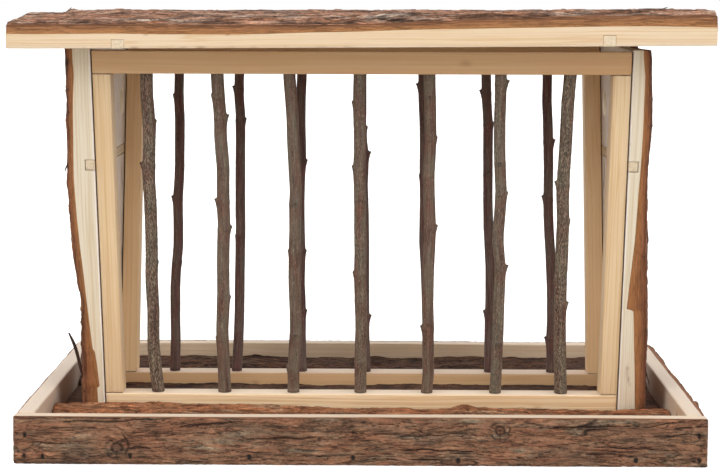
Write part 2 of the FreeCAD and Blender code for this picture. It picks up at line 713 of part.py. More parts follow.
def screw_hinges():
    screw = make_screw()
    down_rail = Vector(0, -lean_sin, -lean_cos)
    into_rail = Vector(0, -lean_cos, lean_sin)
    reach = SIZES["screw_reach"]
    plate = SIZES["hinge_plate"]
    rail, roof = [], []
    for _, sign in SIDES:
        for end in (-1, 1):
            x = sign * SIZES["hinge_at"] + end * SIZES["screw_spread"]
            pin = Vector(x, SIZES["hinge_pin_back"], SIZES["hinge_pin_height"])
            on_rail = pin + down_rail * reach + into_rail * (rail_gap - plate)
            rail.append((screw, on_rail, into_rail))
            roof.append((screw, pin + Vector(0, reach, roof_gap - plate), (0, 0, 1)))
    fasten("hinge_rail_screws", rail)
    fasten("hinge_roof_screws", roof)


def nail_tray():
    brad = make_brad()
    x_corner = value("(side_slat_inner+side_slat_outer-slat_bark)/2")
    depth = value("tray_half_depth-brad_set")
    corners, edges = [], []
    for _, sign in FACES:
        for _, end in SIDES:
            for z in CORNER_BRAD_HEIGHTS:
                corners.append((brad, (end * x_corner, sign * depth, z), (0, -sign, 0)))
        for x, z in FLOOR_EDGE_BRADS:
            edges.append((brad, (x, sign * depth, z), (0, -sign, 0)))
    fasten("tray_corner_brads", corners)
    fasten("floor_edge_brads", edges)


def nail_frames():
    top_brad = brad_of(TOP_RAIL_BRAD)
    bottom_brad = brad_of(BOTTOM_RAIL_BRAD)
    base_brad = brad_of(FRAME_BASE_BRAD)
    side_brad = brad_of(PANEL_SIDE_BRAD)
    x_stile = value("frame_half_width-stile_width/2")
    x_panel = value("panel_inner+panel_thickness")
    corners, base, sides = [], [], []
    for _, sign in FACES:
        y_top = value(frame_middle_y("rail_top", sign))
        y_seat = value(frame_middle_y("floor_seat", sign))
        y_joint = value(frame_middle_y("bottom_joint", sign))
        for _, end in SIDES:
            # through the rails into the ends of the stiles, along the lean
            corners.append((top_brad, (end * x_stile, y_top, value("rail_top-brad_set")),
                            (0, -sign * lean_sin, -lean_cos)))
            corners.append((bottom_brad, (end * x_stile, y_seat, value("floor_seat+brad_set")),
                            (0, sign * lean_sin, lean_cos)))
            # from outside through the panel into the stile's edge
            for z in PANEL_SIDE_BRADS_Z:
                y = value(frame_middle_y(z, sign))
                sides.append((side_brad, (end * x_panel, y, z), (-end, 0, 0)))
        # down through the bottom rail into the floor
        for x in FRAME_BASE_BRADS_X:
            base.append((base_brad, (x, y_joint, SIZES["bottom_joint"]), (0, 0, -1)))
    fasten("frame_corner_brads", corners)
    fasten("frame_base_brads", base)
    fasten("panel_side_brads", sides)


def nail_panels_and_battens():
    base_brad = brad_of(PANEL_BASE_BRAD)
    batten_brad = brad_of(BATTEN_BRAD)
    x_base = value("panel_inner+panel_thickness/2")
    z_batten = value("(panel_batten_low+panel_batten_high)/2")
    # up through the floor into the panels
    fasten("panel_base_brads",
           [(base_brad, (sign * x_base, y, 0), (0, 0, 1))
            for _, sign in SIDES for y in PANEL_BASE_BRADS_Y])
    fasten("panel_batten_brads",
           [(batten_brad, (sign * SIZES["panel_inner"], y, z_batten), (sign, 0, 0))
            for _, sign in SIDES for y in PANEL_BATTEN_BRADS_Y])
    fasten("roof_batten_brads",
           [(batten_brad, (sign * SIZES["roof_batten_at"], y, SIZES["roof_under"]), (0, 0, 1))
            for _, sign in SIDES for y in ROOF_BATTEN_BRADS_Y])


# --------------------------------------------------------------------------- build and export
build_tray()
build_floor()
for where, sign in FACES:
    build_frame(where, sign)
for where, sign in FACES:
    for index, stations in enumerate(TWIGS[where]):
        build_twig(where, sign, index, stations)
for side, sign in SIDES:
    build_panel(side, sign)
build_roof()
for side, sign in SIDES:
    build_hinge(side, sign)
screw_hinges()
nail_tray()
nail_frames()
nail_panels_and_battens()

doc.recompute()
bad = [obj.Name for obj in doc.Objects if "Invalid" in obj.State or "Error" in obj.State]
if bad:
    raise RuntimeError("objects in error: " + ", ".join(bad))
os.makedirs("parts", exist_ok=True)
for node in nodes:
    shape = node.Shape
    if shape.isNull() or not shape.isValid() or shape.Volume <= 0:
        raise RuntimeError("bad shape: " + node.Label)
    shape.exportStep(os.path.join("parts", node.Label + ".step"))
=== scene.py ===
# Hay rack feeder of bark-on slab wood: a tray with a slab floor, two leaning frames of twigs,
# two side panels and a roof. The frame's x runs left to right, y front to rear and z up from
# the base; x = y = 0 is the middle. Lengths are millimetres, made metres when a mesh is built.
#
# A wooden piece is a block of cells whose skin is bent to shape in the piece's own axes:
# x along the grain, y across it, z out from the sawn face. Its place function turns these
# into the frame's axes. Shaping functions also get share, 0 to 1 across the piece.
import bpy
import math
import numpy as np
from functools import cache
from mathutils import Matrix, Vector


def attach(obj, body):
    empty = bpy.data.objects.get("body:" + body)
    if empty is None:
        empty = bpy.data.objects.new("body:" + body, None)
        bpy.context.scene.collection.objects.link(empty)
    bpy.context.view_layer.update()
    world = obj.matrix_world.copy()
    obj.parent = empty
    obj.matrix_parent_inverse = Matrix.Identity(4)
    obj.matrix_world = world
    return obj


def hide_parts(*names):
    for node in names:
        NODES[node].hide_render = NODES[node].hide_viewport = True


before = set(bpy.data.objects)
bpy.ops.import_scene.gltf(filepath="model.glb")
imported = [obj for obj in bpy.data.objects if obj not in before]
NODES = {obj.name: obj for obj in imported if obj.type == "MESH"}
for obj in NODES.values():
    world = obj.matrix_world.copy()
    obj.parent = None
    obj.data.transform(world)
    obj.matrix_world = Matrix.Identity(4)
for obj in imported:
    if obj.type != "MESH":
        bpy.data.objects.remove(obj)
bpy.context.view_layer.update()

scene = bpy.context.scene


# ------------------------------------------------------------------ noise and small curves
@cache
def noise_table(seed):
    rng = np.random.RandomState(4000 + seed)
    order = rng.permutation(256)
    angle = rng.rand(256) * 2 * np.pi
    return np.concatenate([order, order]), np.cos(angle), np.sin(angle)


def noise(x, y, seed, period=0):
    """Gradient noise, about -1 to 1, repeating in y after period cells if it is set."""
    order, slope_x, slope_y = noise_table(seed)
    x, y = np.broadcast_arrays(np.asarray(x, float), np.asarray(y, float))
    column, row = np.floor(x).astype(np.int64), np.floor(y).astype(np.int64)
    x, y = x - column, y - row
    fade_x, fade_y = (t * t * t * (t * (t * 6 - 15) + 10) for t in (x, y))
    rows = [row, row + 1]
    if period:
        rows = [row % period for row in rows]

    def corner(i, j):
        pick = order[order[(column + i) & 255] + (rows[j] & 255)]
        return slope_x[pick] * (x - i) + slope_y[pick] * (y - j)

    low, high = (corner(0, j) * (1 - fade_x) + corner(1, j) * fade_x for j in (0, 1))
    return 1.5 * (low * (1 - fade_y) + high * fade_y)


def fbm(x, y, octaves, seed, period=0):
    """Octaves of noise, each at twice the frequency and half the height of the last."""
    total, height, heights, scale = 0.0, 1.0, 0.0, 1
    for octave in range(octaves):
        total = total + height * noise(np.asarray(x) * scale + 17.3 * octave,
                                       np.asarray(y) * scale, seed * 7 + octave, period * scale)
        heights += height
        height *= 0.5
        scale *= 2
    return total / heights * 1.25


def clamp(value):
    return np.clip(value, 0, 1)


def ease(start, end, value):
    """0 at start, 1 at end, smooth between."""
    share = clamp((value - start) / (end - start))
    return share * share * (3 - 2 * share)


def bell(*offsets):
    """A bump of height 1 where every offset is 0."""
    return np.exp(-sum(offset ** 2 for offset in offsets))


def curve(*points):
    stations, values = np.array(points, float).T
    return lambda x: np.interp(x, stations, values)


def flat(value):
    return lambda x: value + 0 * np.asarray(x, float)


def rounded(x, start, end, drop, reach):
    """Falls by drop at start and at end, fading over reach."""
    return -drop * (np.exp(-(x - start) / reach) + np.exp(-(end - x) / reach))


def roof_lift(x, y):
    """The roof sits a little twisted: its front right corner stands about 2 mm high."""
    return 2.6 * clamp((x + 190.5) / 381.0) ** 1.3 * clamp((74.0 - y) / 181.0)


# ------------------------------------------------------------------ mesh building
def lattice_lines(start, end, step, fixed=()):
    """Lines about step apart that pass through the fixed places and 0.5 inside each end."""
    stops = [place for place in [*fixed, start + 0.5, end - 0.5]
             if start + 1e-6 < place < end - 1e-6]
    stops = [start] + sorted(stops) + [end]
    lines = [start]
    for low, high in zip(stops[:-1], stops[1:]):
        count = max(1, int(round((high - low) / step)))
        lines += list(low + (high - low) * (np.arange(count) + 1.0) / count)
    return np.array(lines)


def skin(filled):
    """Lattice indices of the skin's corners, and its quads, for a block of filled cells."""
    shape = tuple(count + 1 for count in filled.shape)
    strides = (shape[1] * shape[2], shape[2], 1)
    padded = np.pad(filled, 1)
    quads = []
    for axis in range(3):
        window = [slice(1, -1)] * 3
        window[axis] = slice(None)
        change = np.diff(padded[tuple(window)].astype(np.int8), axis=axis)
        second, third = strides[axis - 1], strides[(axis + 1) % 3]
        for sign in (1, -1):
            first = sum(index * stride for index, stride in zip(np.nonzero(change == sign), strides))
            quad = first[:, None] + np.array([0, second, second + third, third])
            quads.append(quad if sign == 1 else quad[:, ::-1])
    quads = np.concatenate(quads)
    used, numbers = np.unique(quads, return_inverse=True)
    return (*np.unravel_index(used, shape), numbers.reshape(quads.shape))


def inward(index, last):
    """1 on the first lattice line, -1 on the last, 0 between."""
    return (index == 0) * 1.0 - (index == last)


def outward(points, quads):
    """The quads, turned over if they enclose a negative volume."""
    first, second, third, fourth = (points[quads[:, k]] for k in range(4))
    volume = (first * np.cross(third, fourth - second)).sum()
    return quads[:, ::-1] if volume < 0 else quads


def tube_quads(rings):
    """Quads between successive rings, given their vertex numbers as (ring, corner)."""
    after = np.roll(rings, -1, 1)
    return np.stack([rings[:-1], after[:-1], after[1:], rings[1:]], -1).reshape(-1, 4)


def cap_quads(ring, flip):
    """Quads laid across a ring."""
    cap = np.array([[ring[k], ring[-1 - k], ring[-2 - k], ring[k + 1]]
                    for k in range(len(ring) // 2 - 1)])
    return cap[:, ::-1] if flip else cap


def closed_tube(rings, corners, start=0):
    numbers = start + np.arange(rings * corners).reshape(rings, corners)
    return np.concatenate([tube_quads(numbers), cap_quads(numbers[0], False),
                           cap_quads(numbers[-1], True)])


def finish(name, points, quads, look, grain, material, body="rack", sharp=48):
    """Make the mesh that stands in for the CAD piece called name."""
    points = np.asarray(points, float)
    quads = outward(points, quads)
    mesh = bpy.data.meshes.new(name + "_look")
    count = len(quads)
    mesh.vertices.add(len(points))
    mesh.vertices.foreach_set("co", (points * 0.001).astype(np.float32).ravel())
    mesh.loops.add(4 * count)
    mesh.loops.foreach_set("vertex_index", np.ascontiguousarray(quads, dtype=np.int32).ravel())
    mesh.polygons.add(count)
    mesh.polygons.foreach_set("loop_start", np.arange(0, 4 * count, 4, dtype=np.int32))
    mesh.update(calc_edges=True)
    mesh.polygons.foreach_set("use_smooth", np.ones(count, bool))
    mesh.set_sharp_from_angle(angle=math.radians(sharp))
    layer = mesh.attributes.new("look", "FLOAT_COLOR", "POINT")
    layer.data.foreach_set("color", clamp(look).astype(np.float32).ravel())
    layer = mesh.attributes.new("grain", "FLOAT_VECTOR", "POINT")
    layer.data.foreach_set("vector", np.asarray(grain, np.float32).ravel())
    mesh.materials.append(material)
    mesh.update()
    piece = bpy.data.objects.new(name + "_look", mesh)
    scene.collection.objects.link(piece)
    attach(piece, body)
    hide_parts(name)
    return piece


def mesh_points(piece):
    """Vertex places of an object, in millimetres."""
    points = np.zeros(len(piece.data.vertices) * 3, np.float32)
    piece.data.vertices.foreach_get("co", points)
    return points.reshape(-1, 3).astype(float) * 1000


# ------------------------------------------------------------------ bark
def bark_field(x, y, seed, amount, flaky, knots):
    """Height above the smooth bark, and its look: dark cracks with painted shade in the hollows, bare
    inner bark, grey.
    """
    bent = y.copy()
    for knot_x, knot_y, radius in knots:
        away = np.hypot((x - knot_x) / 1.5, y - knot_y)
        bent = bent + (y - knot_y) * bell(away / (1.5 * radius)) * 0.8
    warp_x = x + 8 * fbm(x / 60, bent / 28, 2, seed + 1)
    warp_y = bent + 2.0 * fbm(x / 42, bent / 17, 3, seed + 2)
    swell = fbm(warp_x / 80, warp_y / 20, 3, seed + 3)
    # flaking terraces
    flake = fbm(warp_x / 46, warp_y / 7.0, 4, seed + 4) + 0.12 * fbm(x / 5, y / 2.2, 2, seed + 5)
    level = flake * 3.1 * flaky + 20
    step = level - np.floor(level)
    terrace = np.floor(level) - 20 + ease(0.0, 0.2, step)
    # long cracks and short ones
    crack = clamp(1 - np.abs(noise(warp_x / 64, warp_y / 6.2, seed + 60)) / 0.05)
    crack = crack * ease(-0.15, 0.25, fbm(x / 85, y / 18, 2, seed + 7))
    short = clamp(1 - np.abs(noise(warp_x / 30 + 9, warp_y / 3.1, seed + 61)) / 0.07)
    short = short * ease(0.05, 0.35, fbm(x / 50 + 4, y / 12, 2, seed + 8))
    fine = fbm(x / 6.5, y / 1.15, 3, seed + 9)
    height = amount * (0.75 * swell + 0.36 * terrace + 0.14 * fine - 1.1 * crack - 0.55 * short)
    # dark darkens the cracks, partly their own colour and partly painted shade, and paints shade under
    # the terrace lips and in the low parts of the swell
    lip = (1 - ease(0.0, 0.28, step)) * 0.55
    dark = clamp(crack * 1.1 + short * 0.8 + lip * 0.6 + ease(0.25, 0.9, -swell) * 0.25)
    inner = ease(0.1, 0.55, -flake)
    inner = inner * (0.35 + 0.65 * ease(-0.1, 0.4, fbm(x / 40, y / 9, 2, seed + 10)))
    grey = ease(0.02, 0.5, fbm(warp_x / 55, warp_y / 8, 3, seed + 11)) * (1 - inner)
    for knot_x, knot_y, radius in knots:
        away = np.hypot((x - knot_x) / 1.1, y - knot_y)
        angle = np.arctan2(y - knot_y, x - knot_x)
        ring = bell((away - radius) / (0.3 * radius))
        core = bell(away / (0.62 * radius))
        rays = clamp(1 - np.abs(np.sin(2.5 * angle + 0.8)) / 0.3)
        rays = rays * np.exp(-(away / (1.3 * radius)) ** 4)
        rays = rays * ease(0.2 * radius, 0.6 * radius, away)
        scallop = 1 + 0.35 * np.sin(9 * angle + 2.0 * np.sin(3 * angle))
        height = height + amount * (0.75 * ring * scallop - 0.9 * core - 0.4 * rays)
        rim = bell((away - radius * (1.32 + 0.1 * np.sin(5 * angle))) / (0.13 * radius))
        rim = rim * (0.6 + 0.4 * np.sin(3 * angle + 1))
        inner_rim = bell((away - 0.62 * radius) / (0.14 * radius))
        dark = clamp(dark * (1 - 0.7 * ring) * (1 - 0.5 * core) + 0.35 * core + 0.75 * rays
                     + 0.8 * rim + 0.75 * inner_rim)
        inner = clamp(inner + 0.5 * bell((away - 2.2 * radius) / (0.8 * radius)))
        grey = clamp(grey + 0.6 * ring)
    return height, dark, inner, grey


def carve(x, y, height, dark, seed, dents, cracks):
    """Sink dents (x, y, x radius, y radius, depth) and cracks (x, y, x, y, width, depth)."""
    for dent_x, dent_y, radius_x, radius_y, depth in dents:
        dent = bell((x - dent_x) / radius_x, (y - dent_y) / radius_y)
        height = height - depth * dent
        dark = np.maximum(dark, np.clip(dent * 2.0 - 0.25, 0, 1.2))
    for start_x, start_y, end_x, end_y, width, depth in cracks:
        run, rise = end_x - start_x, end_y - start_y
        share = clamp(((x - start_x) * run + (y - start_y) * rise) / (run ** 2 + rise ** 2))
        wander = 0.7 * noise(x / 7.0, x * 0 + 0.5, seed + 33)
        away = np.hypot(x - start_x - share * run, y - start_y - share * rise - wander)
        taper = 0.35 + 0.65 * np.sin(np.pi * np.clip(share, 0.04, 0.96))
        crack = clamp(1 - away / (width * taper))
        height = height - depth * crack
        dark = np.maximum(dark, clamp(crack * 1.5))
    return height, dark


def sliver(stations, sizes):
    """A torn strip of bark in the frame's axes: a tapering flattened tube of eight sides."""
    stations = np.array(stations, float)
    share = np.linspace(0, 1, 14)
    spread = np.linspace(0, 1, len(stations))
    line = np.stack([np.interp(share, spread, stations[:, axis]) for axis in range(3)], 1)
    line[1:-1] = 0.25 * line[:-2] + 0.5 * line[1:-1] + 0.25 * line[2:]
    size = np.interp(share, np.linspace(0, 1, len(sizes)), sizes)
    ahead = np.gradient(line, axis=0)
    ahead /= np.linalg.norm(ahead, axis=1)[:, None]
    side = np.cross(ahead, np.array([0.0, 1.0, 0.0]))
    side /= np.linalg.norm(side, axis=1)[:, None] + 1e-9
    above = np.cross(side, ahead)
    angle = np.linspace(0, 2 * np.pi, 8, endpoint=False)[None, :, None]
    ring = side[:, None, :] * np.cos(angle) * 0.45 + above[:, None, :] * np.sin(angle)
    points = (line[:, None, :] + ring * size[:, None, None]).reshape(-1, 3)
    return points, outward(points, closed_tube(14, 8))


def add_mark(look, spot, dark, warm):
    look[:, 1] = np.maximum(look[:, 1], spot * dark)
    look[:, 2] = np.maximum(look[:, 2], spot * warm)


def slab(name, place, span, low_edge, high_edge, wood, top, seed, material, rows, step=0.8,
         deep=2.0, notches=(), hole=None, amount=1.0, flaky=1.0, dents=(), knots=(), cracks=(),
         stain=0.0, back_stain=0.0, edge_dark=0.0, edge_inner=1.0, chip=0.35, extra=None,
         marks=(), slivers=(), body="rack"):
    """A bark-on slab.

    span is its reach in x; the edges are its reach in y, as numbers or functions of x.
    wood and top give the heights of the wood line and of the bark at (x, y, share).
    rows counts the cells through the notch depth (deep), the rest of the wood and the bark.
    notches are x ranges cut into the sawn face; hole is (x, y, radius).
    extra may change the bark's height and look. marks stain the wood:
    (x, y, z, x radius, y radius, z radius, dark, warm).
    """
    low_edge, high_edge = (edge if callable(edge) else flat(edge) for edge in (low_edge, high_edge))
    start, end = span
    stations = np.array([start, 0.5 * (start + end), end])
    width = float(np.max(high_edge(stations) - low_edge(stations)))
    fixed_x = [edge for notch in notches for edge in notch]
    fixed_y = []
    if hole:
        hole_x, hole_y, radius = hole
        half = radius * 0.93
        fixed_x += [hole_x - half, hole_x + half]
        low, high = float(low_edge(np.array(hole_x))), float(high_edge(np.array(hole_x)))
        fixed_y = [width * (hole_y + side - low) / (high - low) for side in (-half, half)]
    line_x = lattice_lines(start, end, step, fixed_x)
    line_y = lattice_lines(0.0, width, step, fixed_y) / width
    notch_rows, wood_rows, bark_rows = rows
    line_z = np.concatenate([np.linspace(0, 1, notch_rows + 1),
                             1 + np.linspace(0, 1, wood_rows + 1)[1:],
                             [2.04], 2 + np.linspace(0, 1, bark_rows + 1)[1:]])
    mid_x, mid_y, mid_z = (0.5 * (line[1:] + line[:-1]) for line in (line_x, line_y, line_z))
    filled = np.ones((len(mid_x), len(mid_y), len(mid_z)), bool)
    for low, high in notches:
        filled &= ~(((mid_x > low) & (mid_x < high))[:, None, None] & (mid_z < 1))
    if hole:
        mid_y = mid_y * width
        filled &= ~((np.abs(mid_x - hole_x) < half)[:, None, None]
                    & ((mid_y > fixed_y[0]) & (mid_y < fixed_y[1]))[:, None])
    i, j, k, quads = skin(filled)

    # the bark's surface over the (x, y) grid
    grid_x = np.repeat(line_x[:, None], len(line_y), 1)
    low, high = low_edge(grid_x), high_edge(grid_x)
    grid_y = low + (high - low) * line_y[None, :]
    if hole:
        # bend the square opening into a round one
        off_x = (grid_x - hole_x) / half
        off_y = (line_y[None, :] * width - 0.5 * sum(fixed_y)) / (0.5 * (fixed_y[1] - fixed_y[0]))
        off_y = off_y + 0 * grid_x
        square = np.maximum(np.abs(off_x), np.abs(off_y))
        away = np.maximum(np.hypot(off_x, off_y), 1e-6)
        fade = ease(1.0, 2.15, square)
        grid_x, grid_y = ((centre + radius * square * off / away) * (1 - fade) + grid * fade
                          for centre, off, grid in ((hole_x, off_x, grid_x),
                                                    (hole_y, off_y, grid_y)))
    share = (grid_y - low) / (high - low)
    wood_z = wood(grid_x, grid_y, share)
    relief, dark, inner, grey = bark_field(grid_x, grid_y, seed, amount, flaky, knots)
    relief, dark = carve(grid_x, grid_y, relief, dark, seed, dents, cracks)
    bark_z = np.maximum(top(grid_x, grid_y, share) + relief, wood_z + 0.45)
    if extra is not None:
        bark_z, dark, inner, grey = extra(grid_x, grid_y, share, wood_z, bark_z, dark, inner, grey)

    # corners of the skin
    x, y = grid_x[i, j], grid_y[i, j]
    wood_z, bark_z, row = wood_z[i, j], bark_z[i, j], line_z[k]
    notch_z = np.minimum(deep(x) if callable(deep) else deep, 0.86 * wood_z)
    z = np.where(row <= 1, row * notch_z,
                 np.where(row <= 2, notch_z + (row - 1) * (wood_z - notch_z),
                          wood_z + (row - 2) * (bark_z - wood_z)))
    bark = row > 2.001
    through = clamp(row - 2)
    in_x, in_y = inward(i, len(line_x) - 1), inward(j, len(line_y) - 1)
    face = (in_x != 0) | (in_y != 0)
    sawn_face = k == 0
    # the cut face through the bark is broken into layers and a little chipped back
    layer = fbm(x / 16 + y / 16, z / 0.9, 3, seed + 21)
    back = chip * (0.5 + np.clip(layer, -0.5, 1)) * np.minimum(through * 4, 1)
    rough = 0.45 * np.abs(fbm(x / 7 + y / 7, x * 0 + 2.0, 2, seed + 22))
    back = np.where(bark & face, back + np.where(through > 0.95, rough, 0), 0.0)
    # softened sawn edges
    soft = 0.2
    x = x + in_x * (back + soft * sawn_face + soft * (in_y != 0))
    y = y + in_y * (back + soft * sawn_face + soft * (in_x != 0))
    z = z + np.where(sawn_face & face, soft, 0)
    # slight waviness of the sawn face
    z = z + np.where(sawn_face, 0.05 * fbm(x / 11, y / 30, 2, seed + 23), 0)

    # look: bark, dark, inner bark or warm wood, grey
    cut = bark & face & (through < 0.97)

    def choose(on_cut, on_bark, on_wood):
        return np.where(cut, on_cut, np.where(bark, on_bark, on_wood))

    cut_dark = 0.35 * ease(0.3, 0.7, fbm(x / 30 + y / 30, z / 1.1, 2, seed + 24)) + edge_dark
    under = through + 0.18 * fbm(x / 12 + y / 12, z * 0, 2, seed + 26)
    cut_dark = clamp(cut_dark + 0.62 * ease(0.55, 1.0, under))
    look = np.stack([choose(0.62, 1.0, 0.0),
                     choose(cut_dark, dark[i, j], 0.0),
                     choose(edge_inner * clamp(1.15 - 1.25 * through), inner[i, j], 0.0),
                     choose(0.25 * through, grey[i, j], stain + sawn_face * back_stain)], 1)
    for mark_x, mark_y, mark_z, radius_x, radius_y, radius_z, mark_dark, warm in marks:
        spot = bell((x - mark_x) / radius_x, (y - mark_y) / radius_y, (z - mark_z) / radius_z)
        add_mark(look, spot * ~bark, mark_dark, warm)
    points = np.stack(place(x, y, z), 1)
    grain_y = line_y[j] * width + (y - grid_y[i, j])
    grain = np.stack([x + 977.0 * (seed % 13), grain_y + 131.0 * (seed % 7), z], 1)
    for strip in slivers:
        strip_points, strip_quads = sliver(*strip)
        quads = np.concatenate([quads, strip_quads + len(points)])
        points = np.concatenate([points, strip_points])
        look = np.concatenate([look, np.tile([1.0, 0.86, 0.1, 0.1], (len(strip_points), 1))])
        grain = np.concatenate([grain, strip_points + 40.0])
    return finish(name, points, quads, look, grain, material, body)


def sawn(name, place, span_x, span_y, span_z, seed, material,
         step=1.2, cross=0.9, bow=0.12, soft=0.28, marks=(), end_stain=0.0, warm=0.0,
         dark_faces=(), body="rack"):
    """A sawn strip with softened edges, a slight bow and shallow dents.

    marks are (x, y, x radius, y radius, dark, warm); dark_faces name whole faces in shade.
    """
    line_x = lattice_lines(*span_x, step)
    line_y, line_z = lattice_lines(*span_y, cross), lattice_lines(*span_z, cross)
    last = [len(line) - 1 for line in (line_x, line_y, line_z)]
    i, j, k, quads = skin(np.ones(last, bool))
    x, y, z = line_x[i], line_y[j], line_z[k]
    in_x, in_y, in_z = (inward(index, end) for index, end in zip((i, j, k), last))
    edge = np.abs(in_x) + np.abs(in_y) + np.abs(in_z) >= 2
    inset = np.where(edge, soft * (0.75 + 0.5 * fbm(x / 14, y / 5 + z / 5, 2, seed + 3)), 0)
    share = (x - span_x[0]) / (span_x[1] - span_x[0])
    dent = np.abs(0.045 * fbm(x / 9, y / 4 + z / 4, 3, seed + 5))
    bend = bow * 4 * share * (1 - share) * (seed % 3 - 1)
    points = np.stack(place(x + in_x * inset, y + in_y * (inset + dent) + bend,
                            z + in_z * (inset + dent)), 1)
    faces = {"x0": in_x > 0, "x1": in_x < 0, "y0": in_y > 0, "y1": in_y < 0}
    look = np.zeros((len(x), 4))
    look[:, 2] = warm
    look[:, 3] = np.where(in_x != 0, end_stain, 0)
    for dark_face in dark_faces:
        look[faces[dark_face], 1] = 1.0
    for mark_x, mark_y, radius_x, radius_y, mark_dark, mark_warm in marks:
        add_mark(look, bell((x - mark_x) / radius_x, (y - mark_y) / radius_y),
                 mark_dark, mark_warm)
    grain = np.stack([x + 531.0 * (seed % 11), y + 77.0 * (seed % 5), z + 33.0 * (seed % 4)], 1)
    return finish(name, points, quads, look, grain, material, body, sharp=40)


# ------------------------------------------------------------------ shader nodes
def palette(*colours):
    """Linear RGBA colours from 0 to 255 screen colours."""
    def linear(level):
        level = level / 255.0
        return level / 12.92 if level <= 0.04045 else ((level + 0.055) / 1.055) ** 2.4
    return [(*map(linear, colour), 1.0) for colour in colours]


def colour(red, green, blue):
    return palette((red, green, blue))[0]


class Nodes:
    """Builds the node tree of a material or world."""

    def __init__(self, owner):
        self.owner = owner
        owner.use_nodes = True
        self.tree = owner.node_tree
        self.tree.nodes.clear()

    def put(self, socket, value):
        if isinstance(value, bpy.types.NodeSocket):
            self.tree.links.new(value, socket)
        else:
            socket.default_value = value

    def node(self, kind, inputs=None, **settings):
        made = self.tree.nodes.new("ShaderNode" + kind)
        for key, value in settings.items():
            setattr(made, key, value)
        for key, value in (inputs or {}).items():
            self.put(made.inputs[key], value)
        return made

    def look(self):
        """The look attribute's red, green, blue and alpha."""
        look = self.node("Attribute", attribute_name="look")
        parts = self.node("SeparateColor", {0: look.outputs["Color"]})
        return (*parts.outputs[:3], look.outputs["Alpha"])

    def grain(self):
        return self.node("Attribute", attribute_name="grain").outputs["Vector"]

    def coordinate(self, name):
        return self.node("TexCoord").outputs[name]

    def scale(self, vector, factors):
        return self.node("VectorMath", {0: vector, 1: factors}, operation="MULTIPLY").outputs[0]

    def warp(self, vector, stretch, detail, amounts):
        """The vector pushed about by coloured noise."""
        push = self.scale(self.noise(vector, stretch, detail, 0.5, output="Color"), amounts)
        return self.node("VectorMath", {0: vector, 1: push}, operation="ADD").outputs[0]

    def noise(self, vector, stretch, detail, rough, output=0):
        made = self.node("TexNoise", {"Vector": self.scale(vector, stretch), "Scale": 1.0,
                                      "Detail": detail, "Roughness": rough})
        return made.outputs[output]

    def ramp(self, factor, *stops):
        """Stops are (position, grey level or colour)."""
        made = self.node("ValToRGB", {0: factor})
        elements = made.color_ramp.elements
        while len(elements) < len(stops):
            elements.new(0.5)
        for element, (position, tone) in zip(elements, stops):
            element.position = position
            tone = (tone,) * 3 if isinstance(tone, (int, float)) else tone
            element.color = (*tone, 1.0)[:4]
        return made.outputs[0]

    def times(self, left, right):
        return self.node("Math", {0: left, 1: right}, operation="MULTIPLY").outputs[0]

    def plus(self, left, right):
        return self.node("Math", {0: left, 1: right}, operation="ADD").outputs[0]

    def mix(self, factor, base, over, mode="MIX"):
        return self.node("Mix", {0: factor, 6: base, 7: over}, data_type="RGBA",
                         blend_type=mode, clamp_factor=True).outputs[2]

    def shade(self, factor, base, field, *stops):
        """Multiply the base colour by a ramp of a field."""
        return self.mix(factor, base, self.ramp(field, *stops), "MULTIPLY")

    def mix_value(self, factor, low, high):
        return self.node("Mix", {0: factor, 2: low, 3: high}, data_type="FLOAT").outputs[0]

    def principled(self, inputs, height=None, strength=1.0, distance=0.0):
        """Finish a material with a principled shader, bumped by height if it is given."""
        shader = self.node("BsdfPrincipled", inputs)
        if height is not None:
            bump = self.node("Bump", {"Height": height, "Strength": strength,
                                      "Distance": distance})
            self.put(shader.inputs["Normal"], bump.outputs[0])
        self.node("OutputMaterial", {0: shader.outputs[0]})
        return self.owner


# ------------------------------------------------------------------ wood and bark shading
def wood_part(nodes, vector, dark, warm, grey, tones):
    """Colour and height of sawn softwood: straight growth lines, fibres, soft blotches."""
    light, middle, line, warm_tone, grey_tone = tones
    warped = nodes.warp(vector, (0.005, 0.02, 0.02), detail=2, amounts=(0.0, 6.0, 6.0))
    rings = nodes.noise(warped, (0.0016, 0.42, 0.42), detail=2, rough=0.5)
    base = nodes.ramp(rings, (0.22, middle), (0.36, light), (0.44, light), (0.49, line),
                      (0.53, middle), (0.60, light), (0.66, light), (0.72, line), (0.8, middle))
    fibre = nodes.noise(vector, (0.045, 2.6, 2.6), detail=4, rough=0.6)
    base = nodes.shade(0.3, base, fibre, (0.3, (0.78, 0.72, 0.64)), (0.5, 1.0),
                       (0.72, (1, 0.99, 0.97)))
    blotch = nodes.noise(vector, (0.009, 0.05, 0.05), detail=3, rough=0.5)
    base = nodes.mix(nodes.ramp(blotch, (0.44, 0.0), (0.76, 0.4)), base, warm_tone)
    # warm heartwood
    heart = nodes.mix(nodes.ramp(rings, (0.3, 0.0), (0.7, 0.5)), warm_tone, line)
    base = nodes.mix(nodes.times(warm, 0.9), base, heart)
    # weathering grey, and the specks that come with it; a near-white grey tone, as on the panels, is
    # painted light
    weather = nodes.noise(vector, (0.02, 0.3, 0.3), detail=4, rough=0.6)
    greyed = nodes.mix(nodes.ramp(weather, (0.25, 0.45), (0.65, 1.0)), base, grey_tone)
    base = nodes.mix(grey, base, greyed)
    specks = nodes.noise(vector, (0.22, 1.1, 1.1), detail=2, rough=0.5)
    specks = nodes.times(nodes.ramp(specks, (0.66, 0.0), (0.74, 0.55)),
                         nodes.plus(0.1, nodes.times(grey, 0.9)))
    base = nodes.mix(specks, base, colour(120, 84, 58))
    # brown marks, nearly black where dark is full
    base = nodes.mix(dark, base, colour(92, 52, 30))
    base = nodes.mix(nodes.ramp(dark, (0.84, 0.0), (0.98, 1.0)), base, colour(26, 15, 9))
    return base, nodes.plus(nodes.times(fibre, 0.6), nodes.times(rings, 0.5))


